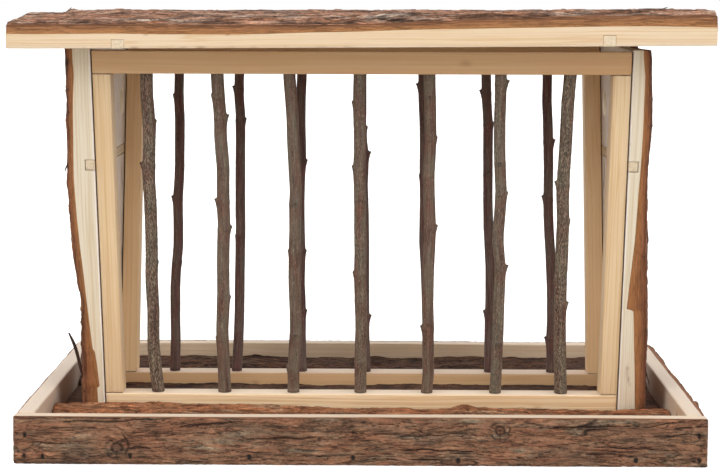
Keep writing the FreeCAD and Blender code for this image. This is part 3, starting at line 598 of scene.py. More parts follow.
def bark_part(nodes, vector, dark_and_hollow_shade, inner, grey, tones, across=1.0, fine=0.95, lift=1.0,
              tint=(1, 1, 1), rough=0.9, pit=0.44):
    """Colour and height of bark.

    across squeezes the pattern across the grain; rough and fine weigh the coarse and fine
    shading; lift and tint brighten the coarse highlights, and pit is their darkest level.
    """
    deep, low, brown, red, ashy, orange, dark = tones
    vector = nodes.scale(vector, (1.0, across, 1.0))
    warped = nodes.warp(vector, (0.02, 0.09, 0.09), detail=3, amounts=(26.0, 5.0, 5.0))
    patch = nodes.noise(warped, (0.022, 0.17, 0.17), detail=6, rough=0.66)
    base = nodes.ramp(patch, (0.33, deep), (0.42, low), (0.48, brown), (0.55, red),
                      (0.62, brown), (0.68, low))
    ash = nodes.noise(warped, (0.035, 0.34, 0.34), detail=5, rough=0.66)
    ash = nodes.times(nodes.ramp(ash, (0.49, 0.0), (0.58, 0.9)),
                      nodes.plus(0.3, nodes.times(grey, 0.7)))
    base = nodes.mix(ash, base, ashy)
    coarse = nodes.noise(warped, (0.075, 0.42, 0.42), detail=6, rough=0.7)
    highlight = [level * lift * part for level, part in zip((1.6, 1.56, 1.52), tint)]
    base = nodes.shade(rough, base, coarse, (0.34, (pit, pit * 0.91, pit * 0.87)),
                       (0.46, (0.88, 0.86, 0.85)),
                       (0.54, (1.1 * lift, 1.08 * lift, 1.06 * lift)), (0.64, highlight))
    streak = nodes.noise(warped, (0.17, 1.1, 1.1), detail=7, rough=0.74)
    base = nodes.shade(fine, base, streak, (0.30, (0.30, 0.27, 0.25)), (0.42, (0.74, 0.71, 0.69)),
                       (0.5, (1.0, 0.98, 0.97)), (0.58, (1.25, 1.23, 1.2)),
                       (0.68, (1.8, 1.75, 1.68)))
    bare = nodes.noise(vector, (0.07, 1.1, 1.1), detail=5, rough=0.65)
    bare = nodes.times(inner, nodes.ramp(bare, (0.36, 0.25), (0.58, 1.0)))
    base = nodes.mix(bare, base, orange)
    # hairline cracks
    thin = nodes.noise(warped, (0.03, 0.62, 0.62), detail=4, rough=0.6)
    hair = nodes.ramp(thin, (0.475, 0.0), (0.497, 0.9), (0.503, 0.9), (0.525, 0.0))
    base = nodes.mix(nodes.times(hair, 0.75), base, dark)
    speck = nodes.noise(vector, (0.7, 2.0, 2.0), detail=4, rough=0.66)
    base = nodes.shade(min(0.8, fine), base, speck, (0.3, (0.55, 0.52, 0.5)), (0.5, 1.0),
                       (0.7, (1.4, 1.38, 1.35)))
    # cracks and marks darkened, with painted shade in the hollows
    base = nodes.mix(nodes.times(dark_and_hollow_shade, 0.92), base, dark)
    height = nodes.plus(nodes.times(streak, 1.3),
                        nodes.plus(nodes.times(speck, 0.5), nodes.times(hair, -0.6)))
    return base, height


def cut_part(nodes, vector, dark, inner, tones, dark_tone):
    """Colour of the layered face where the bark is cut through."""
    warped = nodes.warp(vector, (0.02, 0.02, 0.1), detail=2, amounts=(0.0, 0.0, 3.0))
    layers = nodes.noise(warped, (0.022, 0.25, 1.5), detail=5, rough=0.62)
    base = nodes.ramp(layers, *zip((0.32, 0.45, 0.55, 0.68), tones))
    base = nodes.mix(nodes.times(inner, 0.82), base, tones[4])
    fine = nodes.noise(vector, (0.25, 1.2, 2.6), detail=5, rough=0.7)
    base = nodes.shade(0.6, base, fine, (0.32, (0.55, 0.5, 0.47)), (0.5, 1.0),
                       (0.68, (1.32, 1.28, 1.22)))
    return nodes.mix(nodes.times(dark, 0.8), base, dark_tone)


def painted_top_light(nodes, base, amount):
    """Painted top light: faces that point up are made paler and cooler."""
    normal = nodes.node("SeparateXYZ", {0: nodes.coordinate("Normal")})
    upward = nodes.ramp(normal.outputs[2], (0.6, 0.0), (0.9, 1.0))
    return nodes.mix(nodes.times(upward, amount), base, colour(250, 236, 222))


# wood: light, middle, growth line, warm, grey
WOOD = palette((226, 202, 171), (223, 197, 164), (215, 184, 146), (215, 178, 131), (207, 193, 184))
# bark: deepest, low, brown, red-brown, ashy, orange inner bark, cracks
BARK = palette((78, 54, 43), (116, 84, 65), (154, 114, 90), (168, 120, 95), (204, 186, 170),
               (178, 116, 72), (32, 20, 16))
# cut bark: four layers from dark to light, then the inner bark
CUT = palette((120, 80, 60), (148, 100, 74), (164, 112, 80), (180, 128, 92), (190, 134, 84))


def slab_material(name, wood=WOOD, bark=BARK, cut=CUT, **texture):
    nodes = Nodes(bpy.data.materials.new(name))
    surface, dark, inner, grey = nodes.look()
    vector = nodes.grain()
    wood_base, wood_height = wood_part(nodes, vector, dark, inner, grey, wood)
    bark_base, bark_height = bark_part(nodes, vector, dark, inner, grey, bark, **texture)
    cut_base = cut_part(nodes, vector, dark, inner, cut, bark[6])
    is_bark = nodes.ramp(surface, (0.25, 0.0), (0.45, 1.0))
    is_outer = nodes.ramp(surface, (0.72, 0.0), (0.92, 1.0))
    bark_base = nodes.mix(is_outer, cut_base, bark_base)
    bark_rough = nodes.plus(0.78, nodes.times(bark_height, 0.08))
    return nodes.principled(
        {"Base Color": nodes.mix(is_bark, painted_top_light(nodes, wood_base, 0.4), bark_base),
         "Roughness": nodes.mix_value(is_bark, 0.62, bark_rough),
         "Specular IOR Level": 0.3},
        height=nodes.mix_value(is_bark, nodes.times(wood_height, 0.12), bark_height),
        distance=0.0007)


def sawn_material(name, *tones):
    nodes = Nodes(bpy.data.materials.new(name))
    _, dark, warm, grey = nodes.look()
    base, height = wood_part(nodes, nodes.grain(), dark, warm, grey, palette(*tones))
    return nodes.principled({"Base Color": painted_top_light(nodes, base, 0.5),
                             "Roughness": nodes.plus(0.52, nodes.times(height, 0.16)),
                             "Specular IOR Level": 0.3},
                            height=height, strength=0.5, distance=0.00012)


def twig_material(name, speckle, *tones):
    """Smooth twig bark. look: bark, cracks, bud scars and painted shade at the foot, red-brown patches,
    rough speckle.
    """
    main, dark, red, green, pale = palette(*tones)
    nodes = Nodes(bpy.data.materials.new(name))
    surface, scar, redness, speckled = nodes.look()
    vector = nodes.grain()
    patch = nodes.noise(vector, (0.018, 0.22, 0.22), detail=5, rough=0.6)
    base = nodes.ramp(patch, (0.30, dark), (0.42, main), (0.50, green), (0.58, main), (0.70, dark))
    base = nodes.mix(nodes.times(redness, 0.7), base, red)
    fibre = nodes.noise(vector, (0.10, 1.35, 1.35), detail=6, rough=0.7)
    base = nodes.shade(0.72, base, fibre, (0.30, (0.42, 0.40, 0.39)), (0.42, (0.8, 0.79, 0.78)),
                       (0.52, (1.05, 1.04, 1.03)), (0.66, (1.65, 1.6, 1.52)))
    speck = nodes.noise(vector, (0.62, 2.1, 2.1), detail=4, rough=0.62)
    rough = nodes.shade(1.0, base, speck, (0.38, (0.34, 0.33, 0.32)), (0.47, (0.74, 0.73, 0.72)),
                        (0.54, (1.15, 1.14, 1.1)), (0.64, (2.25, 2.2, 2.08)))
    base = nodes.mix(nodes.times(speckled, speckle), base, rough)
    dots = nodes.noise(vector, (0.5, 0.9, 0.9), detail=1, rough=0.4)
    base = nodes.mix(nodes.ramp(dots, (0.7, 0.0), (0.76, 0.5)), base, pale)
    base = nodes.mix(nodes.times(scar, 0.88), base, colour(42, 30, 26))
    end = nodes.noise(vector, (0.4, 0.9, 0.9), detail=3, rough=0.5)
    end = nodes.ramp(end, (0.3, colour(178, 140, 96)), (0.7, colour(212, 178, 130)))
    is_bark = nodes.ramp(surface, (0.35, 0.0), (0.65, 1.0))
    return nodes.principled({"Base Color": nodes.mix(is_bark, end, base), "Roughness": 0.74,
                             "Specular IOR Level": 0.32},
                            height=nodes.plus(fibre, nodes.times(speck, 0.8)),
                            strength=0.75, distance=0.00035)


def metal_material(name, dark, light, roughness, metallic=1.0):
    nodes = Nodes(bpy.data.materials.new(name))
    vector = nodes.scale(nodes.coordinate("Object"), (1000.0, 1000.0, 1000.0))
    cloud = nodes.noise(vector, (0.9, 0.9, 0.9), detail=5, rough=0.6)
    scratch = nodes.noise(vector, (0.5, 5.0, 5.0), detail=3, rough=0.6)
    base = nodes.ramp(cloud, (0.35, colour(*dark)), (0.65, colour(*light)))
    return nodes.principled({"Base Color": base,
                             "Roughness": nodes.plus(roughness, nodes.times(scratch, 0.25)),
                             "Metallic": metallic},
                            height=scratch, strength=0.3, distance=0.00005)


roof_mat = slab_material("slab_bark", across=0.42, lift=1.16, tint=(0.97, 1.0, 1.02), pit=0.34)
tray_mat = slab_material(
    "tray_slab_bark", across=0.55, fine=0.62, rough=0.72,
    bark=palette((96, 71, 57), (120, 89, 69), (138, 102, 78), (144, 99, 75), (142, 129, 108),
                 (150, 105, 78), (28, 19, 16)))
floor_mat = slab_material(
    "floor_slab_bark", across=0.7,
    bark=palette((100, 62, 44), (136, 86, 58), (172, 116, 80), (188, 124, 86), (186, 158, 128),
                 (212, 146, 98), (48, 29, 20)))
# the panel wood's grey tone is near white: on the panels' sawn inner faces it is painted light,
# whitening faces that little light reaches
panel_mat = slab_material(
    "panel_slab_bark",
    wood=palette((227, 214, 192), (224, 209, 185), (214, 195, 164), (223, 199, 161),
                 (254, 244, 234)),
    bark=palette((92, 62, 50), (118, 80, 62), (142, 98, 74), (160, 108, 78), (128, 108, 96),
                 (184, 120, 78), (44, 28, 22)),
    cut=palette((100, 60, 46), (134, 82, 58), (152, 95, 66), (168, 109, 75), (186, 128, 78)))
# painted shade: darker bark tones for the middle and rear floor slabs, deep inside the rack
floor_painted_shade_mat = slab_material(
    "floor_slab_bark_painted_shade", across=0.6,
    bark=palette((52, 34, 27), (70, 46, 35), (92, 63, 47), (108, 74, 54), (112, 94, 76),
                 (128, 90, 64), (26, 17, 14)),
    cut=palette((60, 40, 31), (80, 54, 41), (96, 66, 49), (112, 80, 60), (124, 86, 58)))
# wood tones in the order of WOOD
sawn_mat = sawn_material("sawn_frame_wood", (230, 203, 165), (226, 197, 155), (214, 180, 134),
                         (200, 148, 100), (206, 190, 172))
batten_mat = sawn_material("sawn_batten_wood", (228, 208, 178), (222, 200, 168), (208, 180, 140),
                           (216, 186, 146), (200, 194, 182))
# painted light: a paler copy of the frame wood for the front bottom rail and the rear stiles, brightened
# to stand in for light they miss
lit_sawn_copy_mat = sawn_material("sawn_wood_painted_light", (250, 224, 186), (246, 216, 174),
                         (232, 194, 146), (226, 182, 132), (232, 216, 196))
# twig tones: main, dark, red, green, pale dots
front_twig_mat = twig_material("front_twig_bark", 1.0, (110, 92, 80), (86, 68, 60),
                               (104, 70, 58), (112, 105, 90), (158, 146, 130))
rear_twig_mat = twig_material("rear_twig_bark", 0.6, (96, 74, 68), (72, 53, 49),
                              (102, 64, 58), (100, 88, 80), (134, 114, 104))
zinc_mat = metal_material("zinc_steel", (168, 170, 172), (196, 198, 200), roughness=0.32)
brad_mat = metal_material("dark_brad_steel", (26, 22, 20), (48, 42, 38), roughness=0.48,
                          metallic=0.55)

# ------------------------------------------------------------------ tray
TRAY_X, TRAY_Y = 179.7, 95.0  # inner faces of the tray's side and long slats
TRAY_HALF_LENGTH = 190.0
TRAY_HEIGHT = 26.5
SIDE_END, SIDE_JOINT = 94.8, 60.8  # ends of the side slats; the right one is in two parts

# nails that show in the tray's long slats: (x, z)
FRONT_NAILS = [(-183.4, 16.3), (-183.8, 4.6), (-173.7, 4.3), (-125.7, 4.9), (-60.3, 4.4),
               (-3.7, 4.4), (53.7, 3.2), (150.7, 3.6), (185.2, 17.2), (185.4, 3.6)]
REAR_NAILS = [(-183.6, 16.6), (-183.6, 4.6), (-173.6, 4.4), (-125.7, 4.8), (-60.3, 4.4),
              (-3.7, 4.4), (53.7, 3.4), (150.7, 3.8), (183.6, 16.6), (183.6, 4.6)]
# long cracks in the front slat: (start x, start z, end x, end z, width, depth)
FRONT_CRACKS = [
    (-162, 23.6, -112, 24.9, 0.6, 1.1), (-99, 21.2, -70, 23.6, 0.7, 1.2),
    (-127, 9.0, -114, 9.2, 0.8, 1.2), (-130.5, 19, -126.5, 12.0, 0.8, 1.2),
    (-60, 14.6, -18, 15.8, 0.55, 0.9), (18, 9.4, 62, 8.2, 0.6, 1.0),
    (96, 21.4, 152, 22.8, 0.6, 1.1), (120, 11.4, 172, 9.6, 0.6, 1.0),
    (-30, 5.4, 4, 6.2, 0.5, 0.8), (-186, 12.6, -160, 11.4, 0.5, 0.8),
    (-70, 7.6, -44, 6.6, 0.5, 0.8), (30, 16.6, 60, 18.2, 0.5, 0.8),
    (160, 17.4, 186, 18.4, 0.5, 0.8)]


def long_slat(part, place, height, thick, seed, **details):
    slab("tray_%s_slat" % part, place, (-TRAY_HALF_LENGTH, TRAY_HALF_LENGTH), 0.0, height, thick,
         lambda x, y, share: (10.1 + rounded(x, -TRAY_HALF_LENGTH, TRAY_HALF_LENGTH, 1.1, 1.6)
                              + rounded(share * TRAY_HEIGHT, 0, TRAY_HEIGHT, 0.55, 1.4)),
         seed, tray_mat, chip=0.2, **details)


def side_slat(part, place, start, end, seed, lump, thick=8.3, **details):
    slab("tray_%s_slat" % part, place, (start, end), 0.0, TRAY_HEIGHT,
         lambda x, y, share: thick + 0.4 * fbm(x / 34, y / 40, 2, seed + 300),
         lambda x, y, share: (10.2 + lump * (0.5 + 0.5 * fbm(x / 26, y / 14, 2, seed + 310))
                              + rounded(share * TRAY_HEIGHT, 0, TRAY_HEIGHT, 0.6, 1.8)
                              + rounded(x, start, end, 0.8, 1.5)),
         seed, tray_mat, step=0.75, rows=(2, 4, 4), chip=0.25, edge_inner=0.3, **details)


long_slat("front", lambda x, y, z: (x, -TRAY_Y - z, y),
          lambda x: 26.4 + 0.2 * np.sin(x / 70.0),
          lambda x, y, share: 7.4 + 0.25 * fbm(x / 40, y / 30, 2, 300), 11,
          step=0.56, amount=0.62, flaky=0.9, rows=(2, 5, 3),
          dents=[(*nail, 1.0, 1.55, 1.5) for nail in FRONT_NAILS] + [(-3.7, 18.3, 0.7, 0.9, 0.9)],
          knots=[(-132.8, 9.3, 4.2), (76.4, 20.0, 3.6)], cracks=FRONT_CRACKS, edge_inner=0.35)
long_slat("rear", lambda x, y, z: (-x, TRAY_Y + z, y),
          lambda x: 26.2 + 0.2 * np.sin(x / 55.0 + 1),
          lambda x, y, share: 7.2 + 0.3 * fbm(x / 40, y / 30, 2, 301), 12,
          step=0.75, amount=0.8, rows=(2, 4, 3), back_stain=0.12, stain=0.15,
          dents=[(-x, z, 0.75, 1.25, 1.2) for x, z in REAR_NAILS],
          knots=[(62.0, 14.0, 4.0), (-121.0, 8.0, 3.4)], edge_inner=0.4)
side_slat("left", lambda x, y, z: (-TRAY_X - z, -x, y), -SIDE_END, SIDE_END, 13, 0.5, thick=9.0,
          amount=0.5, stain=0.42, back_stain=0.3, knots=[(30.0, 12.0, 4.0)],
          marks=[(40, 14, 0, 30, 7, 3, 0.45, 0.2), (-20, 8, 0, 36, 5, 3, 0.3, 0.1),
                 (82, 9, 0, 17, 9, 3, 0.0, 1.0), (66, 15, 0, 3, 3, 2, 0.55, 0.6)])
side_slat("right", lambda x, y, z: (TRAY_X + z, x, y), -60.6, SIDE_END, 14, 2.8,
          amount=0.9, stain=0.42, back_stain=0.25, knots=[(20.0, 13.0, 3.6)])
side_slat("right_front", lambda x, y, z: (TRAY_X + z, x, y), -SIDE_END, -SIDE_JOINT, 15, 2.8,
          amount=0.9, stain=0.36,
          marks=[(-84, 17, 0, 2.2, 2.6, 2, 0.9, 0.6), (-72, 9, 0, 2.6, 2.0, 2, 0.85, 0.6),
                 (-66, 19, 0, 1.6, 1.6, 2, 0.8, 0.5), (-80, 12, 0, 12, 12, 3, 0.0, 0.7)])

# ------------------------------------------------------------------ floor slabs
FLOOR_HALF_LENGTH = 179.4
# bark height across the front and rear slabs: (y, z)
FRONT_FLOOR = curve((-95, 9.0), (-87, 11.2), (-76, 13.4), (-63, 14.8), (-50, 15.4), (-42, 15.0),
                    (-38, 14.8), (-36.2, 14.0))
REAR_FLOOR = curve((36.2, 12.4), (44, 14.4), (56, 16.0), (70, 17.0), (84, 18.2), (91, 18.0),
                   (95, 16.6))
# rise of the front slab's rear rim along its length: (x, rise)
FLOOR_RIM = curve((-180, 3.0), (-150, 3.4), (-115, 3.2), (-95, 2.6), (-70, 2.2), (-40, 1.6),
                  (0, 0.9), (60, 0.5), (180, 0.8))


def floor_front_top(x, y, share):
    rim = ease(-47, -39, y) * (1 - ease(-38, -36.1, y) * 0.35)
    rise = 0.7 * ease(0.0, 0.5, fbm(x / 22, y * 0 + 0.3, 3, 401)) + FLOOR_RIM(x)
    flake = 2.2 * bell((x - 61 + 0.6 * (y + 38)) / 5.5)
    return FRONT_FLOOR(y) + rim * (rise + flake)


def floor_rear_top(x, y, share):
    return REAR_FLOOR(y) + 0.8 * fbm(x / 16, y / 30, 3, 402)


def floor_middle_top(x, y, share):
    crown = 17.1 - 0.5 * (y / 18.0) ** 2 * (np.abs(y) < 30) - 4 * (np.abs(y) >= 30)
    return crown + 0.6 * fbm(x / 18, y / 20, 3, 403)


def floor_middle_extra(x, y, share, wood_z, bark_z, dark, inner, grey):
    """Bark shaved flat to about z = 11 under the frames and the side panels."""
    shaved = np.maximum(ease(17.6, 18.2, np.abs(y)), ease(150.0, 150.6, np.abs(x)))
    level = 10.85 + 0.06 * fbm(x / 9, y / 3, 2, 431)
    bark_z = bark_z * (1 - shaved) + np.minimum(bark_z, level) * shaved
    inner = np.maximum(inner, shaved * 0.8)
    return bark_z, dark * (1 - 0.7 * shaved), inner, grey * (1 - shaved)


def floor_slab(part, low, high, top, seed, material, **details):
    slab("floor_%s_slab" % part, lambda x, y, z: (x, y, z),
         (-FLOOR_HALF_LENGTH, FLOOR_HALF_LENGTH), low, high, lambda x, y, share: 5.4 + 0 * x,
         top, seed, material, edge_inner=0.7, back_stain=0.3, **details)


floor_slab("front", -94.7, -36.25, floor_front_top, 21, floor_mat, step=0.85, amount=1.05,
           flaky=1.5, rows=(1, 3, 6), chip=0.7)
floor_slab("rear", 36.25, 94.7, floor_rear_top, 22, floor_painted_shade_mat, step=0.85, amount=0.95,
           flaky=1.5, rows=(1, 3, 6), chip=0.6)
floor_slab("middle", -35.95, 35.95, floor_middle_top, 23, floor_painted_shade_mat, step=0.9, amount=0.8,
           flaky=1.4, rows=(1, 3, 5), chip=0.3, extra=floor_middle_extra)

# ------------------------------------------------------------------ frames
LEAN = 0.1945  # outward run per unit of height
FRAME_THICK = 13.0
FRAME_HALF = 150.5
STILE_INNER = 140.2
BOTTOM_RAIL, TOP_RAIL = (11.05, 22.85), (212.65, 225.55)
STILE_SPAN = (22.95, 212.55)


def outer_y(z):
    """Distance of a frame's outer face from the middle at height z."""
    return 71.2 - (212.6 - z) * LEAN


def middle_y(z):
    return outer_y(z) - FRAME_THICK / 2


# warmth, material and marks of the top rail, bottom rail, left stile and right stile
# the paler copy of the frame wood paints light onto the front bottom rail and the rear stiles
FRAME_LOOKS = {
    "front": [(0.8, sawn_mat, [(58.0, 219.0, 3.2, 1.8, 0.25, 0.7)]),
              (0.0, lit_sawn_copy_mat, [(104.0, 15.0, 2.4, 1.6, 0.15, 0.6)]),
              (0.1, sawn_mat, []), (0.05, sawn_mat, [])],
    "rear": [(0.8, sawn_mat, [(-70.0, 219.0, 3.4, 2.2, 0.5, 0.8)]),
             (0.75, sawn_mat, [(-66.0, 16.0, 2.6, 2.0, 0.3, 0.8)]),
             (0.6, lit_sawn_copy_mat, []), (0.6, lit_sawn_copy_mat, [])]}

for side, sign, first_seed in (("front", -1, 31), ("rear", 1, 35)):
    def rail_place(x, y, z, sign=sign):
        return x, sign * (outer_y(y) - z), y

    def stile_place(x, y, z, sign=sign):
        return y, sign * (outer_y(x) - z), x

    rail_span = (-FRAME_HALF, FRAME_HALF)
    parts = [("top_rail", rail_place, rail_span, TOP_RAIL, 0, ()),
             ("bottom_rail", rail_place, rail_span, BOTTOM_RAIL, 2, ()),
             ("left_stile", stile_place, STILE_SPAN, (-FRAME_HALF, -STILE_INNER), 3, ("y0",)),
             ("right_stile", stile_place, STILE_SPAN, (STILE_INNER, FRAME_HALF), 6, ("y1",))]
    for (part, place, span_x, span_y, seed, faces), (warm, material, marks) in zip(
            parts, FRAME_LOOKS[side]):
        sawn("%s_%s" % (side, part), place, span_x, span_y, (0, FRAME_THICK), first_seed + seed,
             material, marks=marks, warm=warm, dark_faces=("x0", "x1") + faces)

# ------------------------------------------------------------------ twigs
REAR_TWIG = (3.12, 0.12, 0.2)
# each twig: (radius, redness, speckle), its line from the top down as (z, x), and its buds as
# (z, degrees round the twig, size), where 0 is right, 180 left and -90 front
TWIGS = {
    "front_twig_1": (
        (3.6, 0.05, 1.0),
        [(211, -120.8), (199, -121.1), (193, -120.7), (187, -120.4), (180, -120.1), (169, -120.7),
         (158, -121.2), (151, -121.5), (140, -121.1), (130, -121.1), (120, -121.1), (108, -121.3),
         (94, -121.8), (84, -121.7), (73, -121.3), (62, -121.8), (51, -122.1), (36, -121.2),
         (22, -120.1)],
        [(185, 0, 0.7), (160, 180, 1.3), (135, -90, 0.4), (102, 0, 0.4)]),
    "front_twig_2": (
        (3.68, 0.15, 0.3),
        [(211, -81.0), (199, -80.6), (193, -80.1), (186, -79.8), (176, -79.9), (166, -79.3),
         (158, -78.8), (147, -79.1), (135, -79.3), (126, -79.0), (114, -79.6), (98, -80.1),
         (84, -80.2), (73, -80.7), (62, -81.4), (55, -81.4), (37, -80.9), (22, -80.7)],
        [(200, 180, 0.5), (188, 0, 1.2), (139, 180, 1.1), (123, 0, 0.9), (81, 0, 0.6),
         (56, 180, 0.4)]),
    "front_twig_3": (
        (3.48, 0.15, 0.25),
        [(211, -40.5), (202, -39.8), (187, -39.0), (173, -38.7), (158, -38.1), (144, -37.5),
         (138, -37.9), (121, -38.1), (109, -38.6), (91, -38.8), (73, -38.3), (60, -38.4),
         (49, -39.3), (36, -39.9), (22, -40.1)],
        [(138, -90, 0.5), (109, 180, 0.4), (59, -90, 0.6), (38, 180, 1.0)]),
    "front_twig_4": (
        (3.52, 0.20, 0.5),
        [(211, -1.0), (197, -1.4), (182, -0.9), (167, -0.7), (159, -1.3), (149, -0.9),
         (139, -0.8), (121, -0.7), (109, -0.4), (95, -0.8), (80, -0.3), (63, 0.1), (52, -0.2),
         (40, -0.3), (23, -0.4)],
        [(196, 180, 0.6), (159, 180, 0.6), (140, -90, 0.6), (96, 180, 0.7), (80, 0, 0.7),
         (42, -90, 0.6)]),
    "front_twig_5": (
        (3.38, 0.30, 0.25),
        [(212, 38.2), (200, 38.5), (185, 39.0), (176, 39.3), (162, 38.8), (155, 38.4),
         (142, 38.8), (124, 39.6), (115, 39.5), (99, 38.9), (77, 38.8), (66, 39.1), (49, 39.3),
         (35, 39.6), (22, 38.7)],
        [(200, -90, 0.4), (176, 0, 0.5), (155, 180, 0.5), (124, 0, 0.9), (66, -90, 0.5),
         (63, 180, 1.0)]),
    "front_twig_6": (
        (3.32, 0.05, 0.45),
        [(212, 78.2), (197, 78.3), (184, 78.1), (169, 78.6), (162, 78.9), (144, 79.9),
         (130, 79.4), (120, 78.8), (115, 78.8), (101, 80.3), (93, 80.4), (75, 80.1), (59, 80.0),
         (51, 79.8), (39, 79.7), (22, 79.1)],
        [(208, 0, 1.3), (162, -90, 0.5), (144, 0, 0.6), (100, 0, 1.3), (54, -90, 0.6)]),
    "front_twig_7": (
        (3.65, 0.05, 0.9),
        [(212, 117.1), (197, 116.2), (185, 116.0), (170, 115.8), (155, 115.2), (143, 115.1),
         (128, 115.9), (114, 115.8), (92, 115.6), (78, 115.9), (62, 116.1), (43, 116.9),
         (23, 118.0)],
        [(150, 180, 1.1), (128, 0, 0.5), (92, 180, 0.5), (78, 0, 1.0)]),
    "rear_twig_1": (
        REAR_TWIG,
        [(205, -117.5), (192, -117.5), (179, -116.7), (149, -116.2), (140, -116.4), (128, -117.1),
         (114, -116.6), (99, -116.3), (92, -116.8), (85, -117.3), (73, -117.7), (55, -117.4),
         (42, -116.9), (24, -116.9)],
        [(193, 180, 0.7), (129, 180, 0.9), (89, 0, 0.3)]),
    "rear_twig_2": (
        REAR_TWIG,
        [(205, -79.1), (192, -79.0), (181, -78.0), (159, -77.8), (123, -77.4), (110, -77.0),
         (97, -77.1), (78, -77.2), (61, -77.1), (49, -77.3), (38, -77.6), (24, -78.3)],
        [(198, 180, 1.1), (178, 0, 0.7), (105, 180, 0.3)]),
    "rear_twig_3": (
        REAR_TWIG,
        [(206, -39.1), (191, -39.6), (177, -39.6), (165, -39.2), (152, -39.1), (143, -39.5),
         (127, -39.8), (109, -39.6), (96, -39.0), (78, -39.2), (60, -38.4), (46, -38.4),
         (35, -38.1), (24, -37.6)],
        [(152, 0, 0.8), (96, 0, 0.6), (59, 0, 0.7)]),
    "rear_twig_4": (
        REAR_TWIG,
        [(206, -0.9), (175, -0.9), (165, -0.3), (157, 0.6), (148, 0.6), (137, 0.2), (120, 0.9),
         (109, 1.0), (96, 1.2), (66, 1.4), (56, 1.5), (46, 1.5), (36, 1.8), (25, 2.2)],
        [(173, 0, 0.7), (157, 0, 1.3), (56, 0, 1.1)]),
    "rear_twig_5": (
        REAR_TWIG,
        [(206, 38.2), (191, 38.4), (174, 39.1), (159, 39.2), (143, 39.0), (127, 39.3),
         (109, 38.9), (102, 38.8), (85, 39.8), (64, 40.5), (45, 41.0), (25, 41.8)],
        [(200, 180, 1.2), (143, 180, 0.4)]),
    "rear_twig_6": (
        REAR_TWIG,
        [(206, 78.5), (190, 78.8), (176, 79.5), (163, 79.4), (127, 79.2), (111, 79.5),
         (103, 79.9), (87, 80.6), (68, 80.4), (55, 80.0), (38, 79.7), (24, 79.4)],
        [(196, 180, 1.2), (176, 0, 0.6), (145, -90, 0.4), (59, 180, 1.1)]),
    "rear_twig_7": (
        REAR_TWIG,
        [(206, 117.4), (190, 117.0), (177, 117.5), (163, 117.7), (147, 117.7), (131, 117.3),
         (118, 117.3), (104, 117.9), (94, 118.5), (74, 119.0), (55, 119.0), (43, 118.4),
         (32, 118.5), (25, 118.2)],
        [(165, 0, 1.2), (130, 180, 1.0), (43, 180, 1.0)]),
}
TWIG_RINGS, TWIG_SIDES = 330, 44
TWIG_ENDS = (18.4, 216.9)


